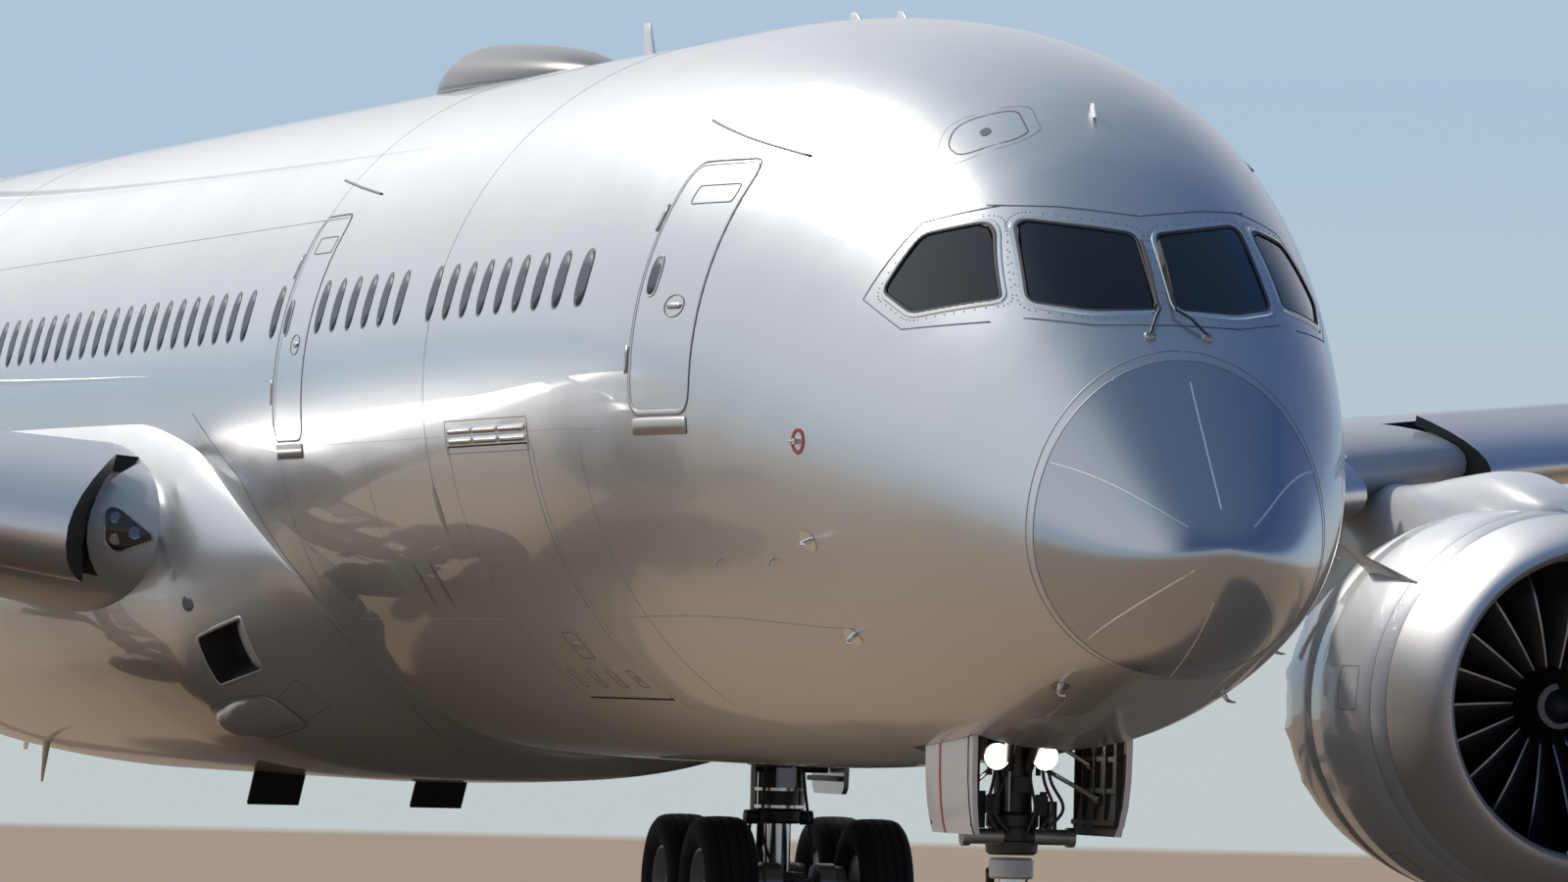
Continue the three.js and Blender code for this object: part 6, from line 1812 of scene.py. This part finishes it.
GLAND = [(0, 0), (0, 0.155), (0.015, 0.168), (0.14, 0.168), (0.16, 0.15), (0.16, 0)]
NOSE_LINKS = (((-0.12, 0.13, 1.30), (-0.42, 0.045, 0.98)), ((-0.42, 0.06, 0.96), (-0.09, 0.11, 0.56)))
piston = [rod(nose_at(0, 0, 0.5), nose_at(0, 0, 1.40), 0.092, 28, 1),
          turned(nose_at(0, 0, 1.24), UP, GLAND, 32, 2),
          rod(nose_at(0, -0.11, 0.508), nose_at(0, 0.11, 0.508), 0.125, 24),
          brick(nose_at(0.14, 0, 0.508), (0.2, 0.14, 0.1)),
          rod(nose_at(0, -0.09, 0.62), nose_at(0, 0.09, 0.62), 0.05, 16)]
for side in (-1, 1):
    for (a1, w1, z1), (a2, w2, z2) in NOSE_LINKS:
        piston.append(rod(nose_at(a1, side * w1, z1), nose_at(a2, side * w2, z2), 0.036, 14, end_radius=0.03))
for z1, a1 in ((1.30, -0.12), (0.97, -0.42), (0.56, -0.09)):
    piston.append(rod(nose_at(a1, -0.14, z1), nose_at(a1, 0.14, z1), 0.034, 14, 1))
piston.append(brick(nose_at(-0.26, 0, 1.14), (0.1, 0.12, 0.05)))
piston.append(hose([nose_at(-0.1, 0.16, 1.3), nose_at(-0.3, 0.2, 1.12), nose_at(-0.2, 0.16, 0.8),
                    nose_at(-0.06, 0.12, 0.58)], 0.012))
settle("nose_piston", piston, [gear_dark, bright_metal, gear_paint, seal], "nose_steering", 35,
       ["nose_gear_piston"])
print("nose gear done")

# %% [markdown]
# The nose gear doors hang open beside the leg. Each leaf has a painted outer skin with a thin red line near
# its rear edge, and an inner face of ribs in a near-black painted shade, which a rod ties to the leg.

# %% Nose gear doors
# Height, distance off the centre, front edge and rear edge
DOOR_ROWS = [(2.45, 0.62, 4.42, 5.75), (2.2, 0.62, 4.42, 5.75), (2.0, 0.618, 4.43, 5.745),
             (1.8, 0.605, 4.45, 5.73), (1.66, 0.585, 4.48, 5.715), (1.58, 0.565, 4.52, 5.7)]


def door_place(station, height, depth=0.0):
    rows = sorted((z, y) for z, y, _, _ in DOOR_ROWS)
    return full(station, eased(rows, height, 1) - depth, height)


leaf_rings = []
for z, y, first, last in DOOR_ROWS:
    outer = [door_place(s, z) + Vector((0, 0.012 * math.sin(math.pi * (s - first) / (last - first)), 0))
             for s in spread(first, last, 16)]
    inner = [p - Vector((0, 0.04, 0)) for p in outer]
    leaf_rings.append(outer + inner[::-1])
leaf = loft(leaf_rings)
ribs = []
for station in (4.55, 4.85, 5.15, 5.45, 5.66):
    ribs.append(brick(door_place(station, 2.0, 0.06), (0.035, 0.06, 0.72), 1))
for height in (1.68, 1.92, 2.16, 2.34):
    ribs.append(brick(door_place(5.1, height, 0.055), (1.16, 0.045, 0.04), 1))
inner_skin = loft([[door_place(s, z, 0.045) for s in (first + 0.03, last - 0.03)]
                   + [door_place(s, z, 0.041) for s in (last - 0.03, first + 0.03)]
                   for z, _, first, last in DOOR_ROWS[1:]], 1)


def stripe(first, last, low, high, pick):
    """A thin upright strip on the leaf's outer face."""
    corners = [(first, low), (first, high), (last, high), (last, low)]
    return loft([[door_place(s, z, -off) for s, off in corners] for z, _, _, _ in DOOR_ROWS], pick)


stripes = [stripe(5.27, 5.31, 0.004, 0.0155, 2), stripe(4.52, 4.535, 0.0, 0.0075, 1)]
# The ribs and the inner skin take the near-black painted shade.
both_sides("nose_door_leaf", [leaf, *ribs, inner_skin, *stripes], [white_enamel, cavity_painted_shade, red], None, 35,
           ["nose_gear_door_*"])
links = []
for height, ahead in ((2.2, 0.2), (1.95, 0.45)):
    start = nose_at(0.05, 0.12, height + 0.18)
    end = door_place(NOSE_STATION - ahead, height - 0.1, 0.06)
    pin = AHEAD * 0.05
    links += [rod(start, end, 0.018, 10, 1), rod(end - pin, end + pin, 0.03, 12)]
both_sides("nose_door_links", links, [gear_dark, steel], None, 35)
print("nose doors done")

# %% Main gear
MAIN_STATION, MAIN_SIDE, AXLE_HEIGHT = 31.4, 4.9, 0.685


def main_at(ahead, out, z):
    return full(MAIN_STATION - ahead, MAIN_SIDE + out, z)


CYLINDER = [(0, 0), (0, 0.2), (0.02, 0.225), (0.12, 0.23), (0.14, 0.2), (0.5, 0.2), (0.55, 0.24), (0.7, 0.24),
            (0.75, 0.2), (2.9, 0.2), (2.9, 0)]
BRAKE = [(0, 0), (0, 0.2), (0.03, 0.245), (0.2, 0.245), (0.22, 0.22), (0.3, 0.22), (0.3, 0)]
CLAMP = [(0, 0), (0, 0.25), (0.03, 0.25), (0.03, 0)]
MAIN_LINKS = (((-0.16, 0.12, 1.42), (-0.5, 0.05, 1.05)), ((-0.5, 0.06, 1.05), (-0.12, 0.1, 0.78)))
MAIN_BRACES = [((0, 0, 1.9), (-0.9, -1.3, 3.9), 0.08, 18, 0), ((0, 0, 1.7), (1.5, 0.05, 3.9), 0.08, 18, 0),
               ((0, -0.3, 2.4), (0, -1.0, 3.0), 0.05, 14, 0), ((0, 0.1, 2.6), (0, 0.46, 2.6), 0.05, 14, 0),
               ((0, 0.1, 1.85), (0, 0.49, 1.85), 0.05, 14, 0)]
MAIN_RODS = [((-0.03, 0.24, 1.36), (-0.03, 0.24, 2.1), 0.035, 12, 2),
             ((0.02, 0.22, 1.36), (0.02, 0.34, 1.36), 0.07, 16, 0),
             ((0.1, 0.2, 1.95), (0.1, 0.34, 1.95), 0.08, 16, 0)]
MAIN_HOSES = (((0.15, 0.12, 2.8), (0.23, 0.16, 2.2), (0.24, 0.2, 1.7), (0.36, 0.24, 1.2), (0.6, 0.2, 0.9)),
              ((-0.15, 0.1, 2.6), (-0.24, 0.14, 2.0), (-0.3, 0.2, 1.3), (-0.6, 0.2, 0.95)))
main = [rod(main_at(0, 0, 0.69), main_at(0, 0, 1.5), 0.13, 28, 1),
        turned(main_at(0, 0, 1.3), UP, CYLINDER, 32),
        *rods(main_at, 1, MAIN_BRACES),
        brick(main_at(0, 0, AXLE_HEIGHT), (1.82, 0.26, 0.3), 0, 0.25),
        brick(main_at(0, 0, AXLE_HEIGHT), (0.44, 0.32, 0.42), 0, 0.3)]
for side in (-1, 1):
    for (a1, w1, z1), (a2, w2, z2) in MAIN_LINKS:
        main.append(rod(main_at(a1, side * w1, z1), main_at(a2, side * w2, z2), 0.045, 14, end_radius=0.035))
    main += rods(main_at, side, MAIN_RODS)
    for end in (-0.76, 0.76):
        main.append(turned(main_at(end, side * 0.16, AXLE_HEIGHT), (0, side, 0), BRAKE, 28, 2))
    for path in MAIN_HOSES:
        main.append(hose([main_at(a, side * w, z) for a, w, z in path], 0.016, 3))
for z in (1.45, 1.62, 2.05, 2.3):
    main.append(turned(main_at(0, 0, z), UP, CLAMP, 24, 1))
main.append(brick(main_at(0.18, 0.02, 1.75), (0.12, 0.2, 0.22), 2))
both_sides("main_leg", main, [gear_dark, bright_metal, steel, seal], None, 35, ["main_gear_leg_*"])
# Height, distance outboard of the leg and half length
LEG_DOOR_ROWS = [(3.9, 0.42, 0.75), (3.2, 0.445, 0.75), (2.4, 0.475, 0.7), (1.85, 0.495, 0.64),
                 (1.66, 0.5, 0.6), (1.6, 0.5, 0.52)]
door_rings = []
for z, out, half in LEG_DOOR_ROWS:
    line = [main_at(-a, out + 0.012 * math.cos(math.pi / 2 * a / half), z) for a in spread(-half, half, 14)]
    door_rings.append(line + [p + Vector((0, 0.05, 0)) for p in reversed(line)])
door = loft(door_rings)
door_ribs = [brick(main_at(0, 0.465, z), (1.2, 0.05, 0.05), 1) for z in (1.75, 2.15, 2.6, 3.05)]
both_sides("main_leg_door", [door, *door_ribs], [mica, gear_dark], None, 35)
print("main gear done")
